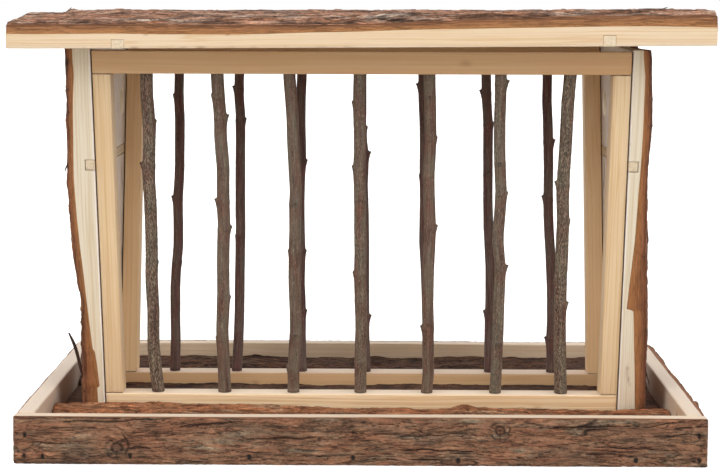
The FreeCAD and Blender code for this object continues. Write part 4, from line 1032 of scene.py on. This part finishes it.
def twig(name, radius, redness, speckle, line, buds):
    front = name.startswith("front")
    sign = -1 if front else 1
    number = int(name[-1])
    seed = 60 + 10 * number + (0 if front else 5)
    height = np.linspace(*TWIG_ENDS, TWIG_RINGS)
    line_x = curve(*line[::-1])(height)
    window = np.hanning(13)
    padded = np.concatenate([np.full(6, line_x[0]), line_x, np.full(6, line_x[-1])])
    line_x = np.convolve(padded, window / window.sum(), "valid")
    # the twig wanders in depth too, but meets both rails at their middle
    free = ease(18, 60, height) * (1 - ease(175, 214, height))
    line_y = sign * middle_y(height) + 1.1 * free * fbm(height / 55.0, height * 0 + 0.5, 2, seed)
    z, angle = np.meshgrid(height, np.linspace(0, 2 * np.pi, TWIG_SIDES, endpoint=False),
                           indexing="ij")
    period = 8
    turn = angle / (2 * np.pi) * period

    # bark relief and look
    size = radius * (1 + 0.03 * fbm(z / 40, turn * 0, 2, seed + 1))
    size = size * (1 + 0.035 * fbm(z / 30, turn / 2, 2, seed + 2, period // 2))
    ridges = fbm(z / 9.0, turn * 4, 3, seed + 3, period * 4)
    rough = fbm(z / 1.9, turn * 3, 3, seed + 4, period * 3)
    size = size + (0.05 + 0.05 * speckle) * ridges + (0.03 + 0.11 * speckle) * rough
    dark = clamp(ease(0.25, 0.8, -rough) * (0.25 + 0.6 * speckle))
    patches = ease(-0.1, 0.5, fbm(z / 38, turn / 2, 3, seed + 5, period // 2))
    red = clamp(redness + (1.1 - 0.7 * speckle) * patches)
    red = red * (0.55 + 0.45 * ease(-0.3, 0.3, fbm(z / 9, turn * 2, 3, seed + 15, period * 2)))
    speckled = clamp(speckle + 0.35 * fbm(z / 30, turn / 2, 2, seed + 6, period // 2))
    swell = np.zeros_like(z)
    lift = np.zeros_like(z)
    for bud_z, degrees, bud in buds:
        around = np.angle(np.exp(1j * (angle - math.radians(degrees))))
        # a bud points up the twig: steep above, a long cushion below
        above = z - bud_z
        reach = np.where(above > 0, 1.0 + 0.5 * bud, 2.4 + 1.0 * bud)
        knob = bell(above / reach) * bell(around / 0.62)
        tip = bell((above - 0.4) / 0.75) * bell(around / 0.34)
        swell = swell + bud * (0.62 * knob + 0.75 * tip)
        lift = lift + bud * 0.7 * tip
        scar = bell((above + 1.0) / 0.55)
        swell = swell + 0.16 * bell((above + 1.0) / 1.6) * min(bud, 1.0)
        scar_dark = 0.42 * scar * (0.5 + 0.5 * np.cos(angle * 3 + bud_z))
        dark = np.maximum(dark, 0.75 * tip + scar_dark)
        red = clamp(red + 0.45 * bell((above + 5) / 4.0))
    # swelling where the foot meets the bottom rail, darkened there as a painted contact shadow
    foot = bell((z - 23.4) / 0.9)
    dark = np.maximum(dark, 0.5 * foot)
    swell = swell + 0.12 * foot * (1 + fbm(z, turn, 1, seed + 8, period))
    size = size + swell

    # cross-sections square to the leaning axis
    tilt = math.atan(LEAN)
    depth = size * np.sin(angle)
    tube = np.stack([line_x[:, None] + size * np.cos(angle),
                     line_y[:, None] + depth * math.cos(tilt) + lift * sign * math.sin(tilt),
                     z - depth * sign * math.sin(tilt) + lift * math.cos(tilt)],
                    -1).reshape(-1, 3)
    look = np.stack([np.ones_like(z), dark, red, speckled], -1).reshape(-1, 4)
    grain = np.stack([z + 300.0 * number, np.cos(angle) * radius + (0 if front else 50),
                      np.sin(angle) * radius + 20.0 * number], -1).reshape(-1, 3)
    numbers = np.arange(len(tube)).reshape(z.shape)

    # cut ends: rings drawn in to a small core
    points, looks, grains, quads = [tube], [look], [grain], [tube_quads(numbers)]
    count = len(tube)
    for end, ring in ((0, numbers[0]), (-1, numbers[-1])):
        flip = end == -1
        centre = np.array([line_x[end], line_y[end], height[end]])
        rim = tube[ring]
        for shrink in (0.97, 0.7, 0.4, 0.12):
            inner = centre + (rim - centre) * shrink
            inner_ring = count + np.arange(TWIG_SIDES)
            inner_look = np.zeros((TWIG_SIDES, 4))
            inner_look[:, 1] = 0.25 if shrink < 0.2 else 0.0
            points.append(inner)
            looks.append(inner_look)
            grains.append(np.stack([np.full(TWIG_SIDES, 7.0 * flip + 900),
                                    inner[:, 0] * 3, inner[:, 1] * 3], 1))
            quad = np.stack([ring, inner_ring, np.roll(inner_ring, -1), np.roll(ring, -1)], 1)
            quads.append(quad[:, ::-1] if flip else quad)
            ring = inner_ring
            count += TWIG_SIDES
        quads.append(cap_quads(ring, flip))
    finish(name, np.concatenate(points), np.concatenate(quads), np.concatenate(looks),
           np.concatenate(grains), front_twig_mat if front else rear_twig_mat,
           sharp=60)


for name, (body_look, line, buds) in TWIGS.items():
    twig(name, *body_look, line, buds)

# ------------------------------------------------------------------ side panels
PANEL_X = 150.9  # the panels' sawn faces
PANEL_FOOT = 11.05
PANEL_BATTEN_Z = 160.5
PANEL_HOLE = (190.5, 40.0, 8.5)  # z, y, radius
PANEL_NAILS_Z = (52.0, 118.0, 196.0)

# wood line and bark line by height, measured at the front edge: (z, height off the sawn face)
PANEL_LINES = {
    "left": (
        curve((11, 3.6), (26.6, 3.7), (27.4, 2.2), (40, 3.4), (49, 4.5), (50.6, 5.6), (74, 7.5),
              (110, 10.0), (130, 11.3), (152, 11.9), (190, 10.8), (212, 9.3), (220, 9.6),
              (228, 9.4)),
        curve((11, 15.3), (25, 14.9), (40, 14.0), (50, 13.2), (72, 12.6), (80, 12.6), (87, 13.6),
              (94, 14.4), (101, 15.4), (108, 15.9), (115, 16.2), (121, 16.6), (128, 16.8),
              (142, 16.4), (160, 16.0), (172, 15.4), (195, 14.7), (210, 13.9), (226, 14.1))),
    "right": (
        curve((11, 10.4), (40, 8.6), (60, 7.2), (75.4, 6.2), (76.4, 2.2), (90, 3.3), (118, 5.1),
              (147, 6.2), (170, 7.0), (190, 7.0), (205, 7.0), (212, 6.9), (224, 5.3)),
        curve((11, 17.1), (21, 17.1), (40, 16.7), (58, 16.3), (76, 15.6), (84, 15.2), (92, 14.3),
              (99, 12.9), (104, 13.4), (112, 12.8), (120, 12.3), (130, 11.7), (138, 11.5),
              (153, 11.2), (166, 11.4), (176, 12.0), (184, 12.4), (205, 11.6), (226, 10.3)))}
# the right panel's wood line away from its front edge
RIGHT_WOOD_BEHIND = curve((11, 9.4), (76, 6.6), (120, 6.4), (226, 6.0))
PANEL_MARKS = {
    "front": [(150, -25, 0, 2.4, 3.0, 2, 0.55, 0.2), (176, -50, 0, 7.0, 2.2, 2, 0.32, 0.1),
              (120, -30, 0, 5.0, 1.2, 2, 0.4, 0.1)],
    "middle": [(100, 6, 0, 3.2, 2.6, 2, 0.65, 0.6), (182, -9, 0, 2.6, 2.2, 2, 0.55, 0.6)],
    "rear": [(146, 36, 0, 8.0, 2.0, 2, 0.5, 0.1), (139, 40, 0, 3.0, 1.6, 2, 0.6, 0.2),
             (90, 33, 0, 16, 2.2, 2, 0.25, 0.5)]}
RIGHT_FRONT_MARKS = [
    (37, -39, 4.5, 5.0, 1.2, 1.0, 0.25, 0.4), (30, -39, 6.4, 1.0, 2.0, 0.8, 0.5, 0.3),
    (33, -39, 5.6, 2.2, 2.0, 0.5, 0.7, 0.2), (40, -39.6, 4.7, 1.4, 2.0, 0.6, 0.65, 0.2)]
PANEL_KNOTS = {("left", "front"): [(70.0, -40.0, 4.0)], ("left", "rear"): [(70.0, 40.0, 4.0)],
               ("left", "middle"): [(100.0, 4.0, 5.0)], ("right", "middle"): [(100.0, 4.0, 5.0)]}
# torn strips of bark: stations (x, y, z) and sizes along them
PANEL_SLIVERS = {
    ("left", "front"): [
        ([(-163.4, -37.0, 33.0), (-164.2, -41.0, 41.0), (-165.6, -43.0, 49.5),
          (-167.4, -43.4, 55.0), (-170.0, -43.8, 60.6)], [0.9, 1.9, 2.1, 1.9, 0.9]),
        ([(-165.2, -60.0, 163.0), (-167.6, -60.5, 158.5), (-168.3, -60.5, 155.0)],
         [0.8, 0.9, 0.2])],
    ("right", "front"): [
        ([(166.4, -37.5, 38.0), (168.2, -38.0, 32.0), (168.6, -38.0, 27.0)], [0.7, 0.9, 0.25])]}


def panel_edge(z):
    return outer_y(z) + 1.5


def panel(side, part, seed):
    """One upright slab of a side panel. Returns the nails as (x, y, z) on the bark."""
    sign = -1 if side == "left" else 1
    wood_line, bark_line = PANEL_LINES[side]
    low, high = {"front": (lambda z: -panel_edge(z), flat(-22.1)),
                 "middle": (flat(-21.95), flat(21.95)),
                 "rear": (flat(22.1), panel_edge)}[part]

    def wood(height, y, share):
        line = wood_line(height)
        if side == "right":
            behind = ease(0.12, 0.5, clamp((y + 60) / 120.0))
            line = line + (RIGHT_WOOD_BEHIND(height) - line) * behind
        # thick enough to hold the batten
        line = np.maximum(line, np.where((height > 150) & (height < 171), 6.1, 2.2))
        return line + 0.25 * fbm(height / 35, y / 30, 2, seed + 340)

    def top(height, y, share):
        # round-backed: the bark falls away towards each edge, less so at the outer ones
        width = high(height) - low(height)
        near, far = share * width, (1 - share) * width
        line = bark_line(height) + 0.5 * np.sin(y / 9.0 + seed)
        if part == "front":
            return (line - 0.9 * np.exp(-near / 3.5) - 1.9 * np.exp(-far / 3.0)
                    + 0.5 * bell((near - 14) / 9.0))
        if part == "rear":
            return line - 0.9 * np.exp(-far / 3.5) - 1.9 * np.exp(-near / 3.0) + 0.4
        return line - 1.9 * np.exp(-near / 3.0) - 1.9 * np.exp(-far / 3.0) + 0.7

    def extra(height, y, share, wood_z, bark_z, dark, inner, grey):
        inside = share * (high(height) - low(height))
        if part == "front" and side == "right":
            # lumpy bark towards the middle height, and a split near the foot
            near = bell(inside / 7.0)
            bark_z = bark_z - 1.3 * ease(222.0, 226.6, height) * near
            lump = 1.1 * fbm(height / 6.5, y / 6, 2, 501) * bell((height - 103) / 26.0)
            split = bell((height - 28) / 7.0) * bell((inside - 2.2) / 0.9)
            bark_z = bark_z + lump * near - 1.6 * split
            dark = np.maximum(dark, split * 1.2)
        if part == "front" and side == "left":
            near = bell(inside / 6.0)
            bark_z = bark_z + near * (0.9 * fbm(height / 12.0, y / 6, 3, 502) - 0.4)
            # low down, a strip of the bark has torn away
            torn = ease(30.0, 27.5, height) * near
            bark_z = bark_z - 0.6 * torn
            inner = np.maximum(inner, torn * 0.9)
        # painted shade: the bark darkens towards the top, under the roof
        shade = ease(196, 222, height + 4 * fbm(height / 7, y / 9, 2, 503))
        return np.maximum(bark_z, wood_z + 0.4), np.maximum(dark, 0.5 * shade), inner, grey

    nails = []
    if part != "middle":
        nail_side = -1 if part == "front" else 1
        nails = [(z, nail_side * middle_y(z)) for z in PANEL_NAILS_Z]
    right_front = side == "right" and part == "front"
    # the sawn inner faces take the near-white grey almost fully, as painted light
    piece = slab("%s_panel_%s_slab" % (side, part), lambda x, y, z: (sign * (PANEL_X + z), y, x),
                 (PANEL_FOOT, 226.7 if right_front else 227.35), low, high, wood, top, seed,
                 panel_mat, rows=(5, 4, 7), deep=5.45,
                 notches=[(PANEL_BATTEN_Z - 3.15, PANEL_BATTEN_Z + 3.15)],
                 hole=PANEL_HOLE if part == "rear" else None, amount=0.85, flaky=1.15,
                 dents=[(*nail, 0.9, 0.9, 1.2) for nail in nails],
                 back_stain=0.95, chip=0.45, edge_dark=0.05, extra=extra,
                 marks=(RIGHT_FRONT_MARKS if right_front else []) + PANEL_MARKS[part],
                 slivers=PANEL_SLIVERS.get((side, part), ()),
                 knots=PANEL_KNOTS.get((side, part), ()))
    points = mesh_points(piece)
    heads = []
    for z, y in nails:
        close = np.hypot(points[:, 2] - z, points[:, 1] - y) < 1.1
        heads.append((sign * float(np.abs(points[close, 0]).max()), y, z))
    return heads


panel_nails = []
for i, side in enumerate(("left", "right")):
    for j, part in enumerate(("front", "middle", "rear")):
        panel_nails += panel(side, part, 110 + 30 * i + 7 * j)

for side, sign in (("left", -1), ("right", 1)):
    half = panel_edge(PANEL_BATTEN_Z)
    sawn("%s_panel_batten" % side,
         lambda x, y, z: (sign * (PANEL_X + z), x * (panel_edge(y) / half), y),
         (-half - 0.12, half + 0.12), (PANEL_BATTEN_Z - 2.85, PANEL_BATTEN_Z + 2.85),
         (-0.15, 5.1), 180 + sign, batten_mat, step=1.0, cross=0.7, bow=0.0,
         soft=0.2, end_stain=0.25)

# ------------------------------------------------------------------ roof
ROOF_Z = 227.42  # the roof's sawn underside
ROOF_HALF = 190.5
# the two roof battens lie either side of a line a little right of the middle
ROOF_BATTEN_OUT, ROOF_BATTEN_SHIFT = 131.6, 1.3
ROOF_BATTEN_X = [side * ROOF_BATTEN_OUT + ROOF_BATTEN_SHIFT for side in (-1, 1)]

# wood line at the front edge: (x, height above the underside)
ROOF_WOOD = curve(
    (-190.5, 7.9), (-187.7, 7.9), (-174.3, 7.67), (-160.9, 7.77), (-134.1, 8.0), (-107.4, 7.5),
    (-80.6, 7.35), (-67.2, 7.28), (-53.8, 7.45), (-40.5, 7.77), (-27.1, 8.2), (-13.7, 8.37),
    (0, 8.58), (13.1, 9.06), (26.5, 9.39), (39.9, 9.6), (53.2, 9.7), (66.6, 9.95), (80, 10.1),
    (93.4, 10.2), (106.8, 10.37), (120.2, 10.5), (133.5, 10.6), (146.9, 10.6), (160.3, 10.45),
    (173.7, 10.2), (188.1, 9.75), (190.5, 9.7))
# bark height along the front edge: (x, height)
ROOF_EDGE = curve((-190.5, 13.7), (-150, 13.5), (-100, 13.2), (-50, 12.7), (-10, 12.6),
                  (20, 13.4), (45, 14.6), (66, 15.6), (100, 16.2), (140, 16.9), (190.5, 16.7))
# bark profiles across the slabs from their front edges: (share, height)
FRONT_LEFT = curve((0, 13.6), (0.04, 14.2), (0.11, 14.8), (0.25, 16.0), (0.43, 17.0),
                   (0.55, 18.0), (0.72, 18.9), (0.9, 18.0), (1, 15.6))
FRONT_RIGHT = curve((0, 16.8), (0.05, 17.6), (0.18, 18.8), (0.4, 19.2), (0.6, 19.0),
                    (0.85, 17.8), (1, 15.2))
MIDDLE_PROFILE = curve((0, 13.6), (0.06, 16.2), (0.18, 18.3), (0.35, 19.3), (0.5, 19.6),
                       (0.68, 19.2), (0.85, 17.8), (0.95, 16.0), (1, 13.6))
REAR_PROFILE = curve((0, 13.4), (0.06, 15.8), (0.2, 18.0), (0.42, 19.4), (0.6, 19.0),
                     (0.8, 17.2), (0.93, 15.0), (1, 12.8))
# cracks behind the front edge: (start x, end x, distance from the edge, width, depth)
ROOF_CRACKS = [
    (-165, -138, 4.0, 0.9, 1.5), (-128, -104, 6.5, 0.8, 1.2), (-88, -46, 9.0, 0.8, 1.2),
    (-20, 44, 3.6, 0.9, 1.5), (10, 40, 7.5, 0.8, 1.3), (60, 118, 5.5, 0.8, 1.3),
    (128, 172, 8.5, 0.9, 1.4), (-60, -20, 5.0, 0.7, 1.0), (92, 140, 12.0, 0.8, 1.2)]
# lumps on the middle slab: (x, x radius, y, y radius, height)
ROOF_LUMPS = [(119.5, 2.4, -8.0, 5.0, 1.5), (176.0, 2.2, 2.0, 4.0, 0.5),
              (-60.0, 5.0, 4.0, 5.0, 0.5), (45.0, 14.0, -4.0, 8.0, 0.7)]


def roof_wood(x, y, share):
    front = ease(20.0, -100.0, y)
    return ROOF_WOOD(x) * front + 8.3 * (1 - front)


def roof_ends(x, amount):
    """The bark breaks away at the slab's ends."""
    return amount * (rounded(x, -190.6, 190.6, 1.6, 0.9) + rounded(x, -190.6, 190.6, 0.2, 4.0))


def roof_front_top(x, y, share):
    right = ease(-150, 150, x)
    profile = FRONT_LEFT(share) * (1 - right) + FRONT_RIGHT(share) * right
    edge = ROOF_EDGE(x) - (13.6 * (1 - right) + 16.8 * right)
    return profile + edge * np.exp(-share * 71 / 5.0) + roof_ends(x, 1.0)


def roof_front_extra(x, y, share, wood_z, bark_z, dark, inner, grey):
    near = share * 71.0
    for start, end, offset, width, depth in ROOF_CRACKS:
        run = clamp((x - start) / (end - start))
        line = (offset + 1.2 * noise(x / 13.0, x * 0 + offset, 611)
                + 0.5 * noise(x / 4.0, x * 0 + offset, 612))
        crack = clamp(1 - np.abs(near - line) / (width * (0.3 + 1.1 * np.sin(np.pi * run))))
        crack = crack * (run > 0) * (run < 1)
        bark_z = bark_z - depth * crack
        dark = np.maximum(dark, clamp(crack * 1.6))
    # the bark's lowest layers are sawn off square at the edge; its upper plates start behind
    smooth = roof_front_top(x, y, share) + 0.25 * fbm(x / 12, x * 0 + 3.1, 3, 614)
    hold = 1 - ease(0.9, 2.4, near)
    bark_z = bark_z * (1 - hold) + smooth * hold
    # the groove below the plates is darkened as painted shade
    gap = bell((near - 1.5) / 0.75) * ease(-0.3, 0.1, fbm(x / 24, x * 0 + 0.7, 3, 615))
    plate = ease(1.9, 2.9, near) * bell((near - 2.4) / 7.0)
    plate = plate * ease(-0.25, 0.25, fbm(x / 17, near / 6, 3, 616))
    bark_z = bark_z - 1.1 * gap + 1.0 * plate
    grey = clamp(grey + 0.6 * plate)
    dark = clamp(np.maximum(dark * (1 - hold) * (1 - 0.5 * plate), 1.2 * gap))
    inner = inner * (1 - hold)
    # pale weathered ridge right of the middle, with a small dark knot
    ridge = bell((x - 12) / 30.0) * bell((near - 6) / 5.0)
    bark_z = bark_z + 0.9 * ridge * (0.6 + 0.4 * noise(x / 5.0, near / 2.0, 613))
    grey = clamp(grey + ridge)
    inner = inner * (1 - ridge)
    away = np.hypot((x - 11.5) / 1.6, near - 5.0)
    bark_z = bark_z - 1.3 * bell(away / 1.8)
    dark = np.maximum(dark, bell(away / 1.9) * 1.2)
    # a second pale patch further right
    pale = bell((x - 110) / 24.0) * bell((near - 11) / 6.5)
    bark_z = bark_z + 0.5 * pale * (0.5 + 0.5 * noise(x / 4.0, near / 2.0, 617))
    grey = clamp(grey + 0.95 * pale)
    inner = inner * (1 - pale)
    # an orange flake
    flake = bell((x + 50) / 7.0) * bell((near - 16) / 4.0)
    return bark_z + 0.7 * flake, dark, clamp(inner + flake), grey


def roof_middle_extra(x, y, share, wood_z, bark_z, dark, inner, grey):
    # at the left end the bark starts with a raised, pointed flake
    left = x + 0.12 * np.abs(y + 4)
    bare = 1 - ease(-174.6, -173.4, left)
    bark_z = bark_z - 2.6 * bare + 1.0 * bell((left + 172.6) / 1.6) * bell((y + 4) / 9.0)
    for lump_x, radius_x, lump_y, radius_y, height in ROOF_LUMPS:
        bark_z = bark_z + height * bell((x - lump_x) / radius_x) * bell((y - lump_y) / radius_y)
    return bark_z, dark, np.maximum(inner, bare * 0.6), grey


def roof_place(x, y, z):
    return x, y, ROOF_Z + z + roof_lift(x, y)


def roof_slab(part, low, high, top, seed, **details):
    """A roof board, notched below for both battens."""
    slab("roof_%s_slab" % part, roof_place, (-ROOF_HALF, ROOF_HALF), low, high, roof_wood, top,
         seed, roof_mat, rows=(3, 4, 7), step=0.86, deep=lambda x: np.where(x > 0, 5.85, 4.85),
         notches=[(x - 3.45, x + 3.45) for x in ROOF_BATTEN_X], amount=1.05, flaky=1.25,
         chip=0.4, back_stain=0.25, body="roof", **details)


roof_slab("front", -107.0, -36.05, roof_front_top, 201, extra=roof_front_extra,
          marks=[(-71.3, -107, 8.0, 1.2, 3, 0.9, 1.0, 0.2), (-115.0, -107, 7.4, 1.2, 3, 0.4, 0.6, 0.3),
                 (-121.6, -107, 0.4, 2.2, 3, 0.5, 0.55, 0.3), (-86.0, -107, 0.3, 2.4, 3, 0.5, 0.5, 0.4)])
roof_slab("middle", -35.95, 35.95,
          lambda x, y, share: MIDDLE_PROFILE(share) + roof_ends(x, 0.8), 215,
          extra=roof_middle_extra,
          slivers=[([(172.5, -2.0, 246.2), (175.5, -2.0, 248.0), (178.5, -2.2, 249.2),
                     (181.8, -2.4, 250.3)], [0.5, 0.75, 0.7, 0.35]),
                   ([(-176.0, -10.0, 246.3), (-174.0, -8.0, 247.9), (-173.4, -6.0, 249.0)],
                    [0.7, 0.9, 0.3])])
roof_slab("rear", 36.05, 107.0,
          lambda x, y, share: REAR_PROFILE(share) + roof_ends(x, 0.7), 229)

for side, sign, batten_x, thick in (("left", -1, ROOF_BATTEN_X[0], 4.7),
                                    ("right", 1, ROOF_BATTEN_X[1], 5.7)):
    sawn("roof_%s_batten" % side, lambda x, y, z: roof_place(batten_x + y, x, z),
         (-107.15, 107.1), (-3.4, 3.4), (-0.12, thick), 190 + sign, batten_mat,
         step=1.0, cross=0.7, bow=0.0, soft=0.2, end_stain=0.25, body="roof")

# ------------------------------------------------------------------ brads
BRAD_SIDES = 20


def brads(name, spots, length, body):
    """Small wire nails: spots are (head centre, direction the point goes)."""
    # (radius, distance from the top of the head)
    profile = [(0.0, 0.0), (0.55, 0.02), (1.05, 0.1), (1.25, 0.24), (1.2, 0.42), (0.85, 0.52),
               (0.62, 0.62), (0.6, 1.2), (0.6, length - 2.4), (0.5, length - 1.8),
               (0.18, length - 0.3), (0.0, length)]
    angle = np.linspace(0, 2 * np.pi, BRAD_SIDES, endpoint=False)[:, None]
    points, quads = [], []
    for head, direction in spots:
        ahead = np.array(direction, float)
        side = np.cross(ahead, [0.0, 0.0, 1.0] if abs(ahead[2]) < 0.9 else [1.0, 0.0, 0.0])
        side /= np.linalg.norm(side)
        ring = np.cos(angle) * side + np.sin(angle) * np.cross(ahead, side)
        wobble = 1 + 0.02 * np.sin(3 * angle)
        start = len(points) * BRAD_SIDES
        points += [np.array(head) + ahead * along + ring * max(radius, 0.012) * wobble
                   for radius, along in profile]
        quads.append(closed_tube(len(profile), BRAD_SIDES, start))
    points = np.concatenate(points)
    finish(name, points, np.concatenate(quads), np.zeros((len(points), 4)), points, brad_mat,
           body, sharp=40)


def extent(name, axis):
    """Length of a CAD brad along an axis, its copies mirrored about the middle."""
    places = np.abs(mesh_points(NODES[name])[:, axis])
    return float(places.max() - places.min())


def brad_ends(name):
    """(x, y, top z, bottom z) of each brad in a CAD piece that groups several."""
    points = mesh_points(NODES[name])
    keys = np.stack([np.round(points[:, 0] / 12.0), np.sign(points[:, 1])], 1).astype(int)
    ends = []
    for key in np.unique(keys, axis=0):
        x, y, z = points[(keys == key).all(1)].T
        ends.append((x.mean(), 0.5 * (y.min() + y.max()), z.max(), z.min()))
    return ends


# side brads are sunk a little into the bark
brads("panel_side_brads",
      [((x - np.sign(x) * 0.15, y, z), (-np.sign(x), 0, 0)) for x, y, z in panel_nails],
      min(extent("panel_side_brads", 0), 22.0), "rack")
brads("roof_batten_brads",
      [((x, y, 227.4 + float(roof_lift(x - ROOF_BATTEN_SHIFT, y))), (0, 0, 1))
       for x in ROOF_BATTEN_X for y in (-88, -56, -18, 18, 56, 90)],
      min(extent("roof_batten_brads", 2), 12.0), "roof")
BASE_BRAD_SINK = 0.75
base_brads = [ends for ends in brad_ends("frame_base_brads") if ends[2] - ends[3] > 5]
brads("frame_base_brads",
      [((x, y, top - BASE_BRAD_SINK), (0, 0, -1)) for x, y, top, _ in base_brads],
      base_brads[0][2] - base_brads[0][3] - BASE_BRAD_SINK, "rack")

# ------------------------------------------------------------------ CAD pieces left visible
for name, piece in NODES.items():
    if piece.hide_render:
        continue
    piece.data.materials.clear()
    piece.data.materials.append(brad_mat if "brads" in name else zinc_mat)


# ------------------------------------------------------------------ studio, in metres
def floor_paint():
    """White to the camera, but greyer to other rays so that little light bounces up."""
    nodes = Nodes(bpy.data.materials.new("studio_floor_paint"))
    cloud = nodes.noise(nodes.coordinate("Object"), (3.0, 3.0, 3.0), detail=3, rough=0.5)
    tone = nodes.ramp(cloud, (0.3, colour(248, 248, 247)), (0.7, colour(251, 251, 250)))
    camera_ray = nodes.node("LightPath").outputs["Is Camera Ray"]
    glow = nodes.node("MapRange", {"Value": camera_ray, "To Min": 0.04, "To Max": 0.46})
    return nodes.principled({"Base Color": nodes.mix(camera_ray, (0.52, 0.52, 0.51, 1.0), tone),
                             "Emission Color": (1.0, 1.0, 1.0, 1.0),
                             "Emission Strength": glow.outputs["Result"],
                             "Roughness": 0.95, "Specular IOR Level": 0.1})


def studio_floor(half=14.0):
    mesh = bpy.data.meshes.new("studio_floor")
    corners = [(-half, -half, 0), (half, -half, 0), (half, half, 0), (-half, half, 0)]
    mesh.from_pydata(corners, [], [(0, 1, 2, 3)])
    floor = bpy.data.objects.new("studio_floor", mesh)
    scene.collection.objects.link(floor)
    mesh.materials.append(floor_paint())


def studio_world():
    """White to the camera; as a light it is dim, and brighter behind the object."""
    scene.world = bpy.data.worlds.new("studio_world")
    nodes = Nodes(scene.world)
    room_light = 0.30
    room = nodes.node("Background", {0: (0.98, 0.99, 1.0, 1.0), 1: room_light})
    direction = nodes.node("SeparateXYZ", {0: nodes.coordinate("Generated")})
    behind = nodes.node("MapRange", {"Value": direction.outputs["Y"], "From Min": 0.05,
                                     "From Max": 0.6, "To Min": room_light, "To Max": 1.35},
                        interpolation_type="SMOOTHSTEP")
    nodes.put(room.inputs[1], behind.outputs["Result"])
    white = nodes.node("Background", {0: (1.0, 1.0, 1.0, 1.0), 1: 1.0})
    camera_ray = nodes.node("LightPath").outputs["Is Camera Ray"]
    mixed = nodes.node("MixShader", {0: camera_ray, 1: room.outputs[0], 2: white.outputs[0]})
    nodes.node("OutputWorld", {0: mixed.outputs[0]})


def sun(name, direction, strength, angle, tone):
    light = bpy.data.lights.new(name, "SUN")
    light.energy = strength
    light.angle = math.radians(angle)
    light.color = tone
    lamp = bpy.data.objects.new(name, light)
    lamp.rotation_euler = Vector(direction).to_track_quat("-Z", "Y").to_euler()
    scene.collection.objects.link(lamp)


def photo_camera(place, yaw, pitch, roll, lens, shift_y):
    """A camera looking towards +y, turned left by yaw and down by pitch (radians)."""
    right = np.array([math.cos(yaw), math.sin(yaw), 0])
    above = np.array([-math.sin(yaw) * math.sin(pitch), math.cos(yaw) * math.sin(pitch),
                      math.cos(pitch)])
    ahead = np.array([-math.sin(yaw) * math.cos(pitch), math.cos(yaw) * math.cos(pitch),
                      -math.sin(pitch)])
    matrix = np.eye(4)
    matrix[:3, 0] = math.cos(roll) * right + math.sin(roll) * above
    matrix[:3, 1] = -math.sin(roll) * right + math.cos(roll) * above
    matrix[:3, 2] = -ahead
    matrix[:3, 3] = place
    data = bpy.data.cameras.new("photo_camera")
    camera = bpy.data.objects.new("photo_camera", data)
    scene.collection.objects.link(camera)
    camera.matrix_world = Matrix(matrix.tolist())
    data.sensor_width = 36.0
    data.lens = lens
    data.shift_x = 0.0
    data.shift_y = shift_y
    data.clip_start = 0.01
    data.clip_end = 200.0
    scene.camera = camera


studio_floor()
studio_world()
WARM_WHITE = (1.0, 0.985, 0.965)
sun("key_light_right", (-0.72, 0.50, -0.49), strength=1.38, angle=40, tone=WARM_WHITE)
sun("key_light_left", (0.70, 0.52, -0.49), strength=1.26, angle=40, tone=WARM_WHITE)
sun("front_fill", (0.0, 0.98, -0.20), strength=0.98, angle=44, tone=WARM_WHITE)
sun("top_light", (0.10, 0.20, -0.97), strength=0.30, angle=50, tone=(1.0, 0.99, 0.98))
photo_camera(place=(0.008, -0.994, 0.2526), yaw=0.0094, pitch=0.0768, roll=0.0027, lens=82.857,
             shift_y=-0.14791667)
scene.view_settings.view_transform = "Standard"
scene.view_settings.look = "None"
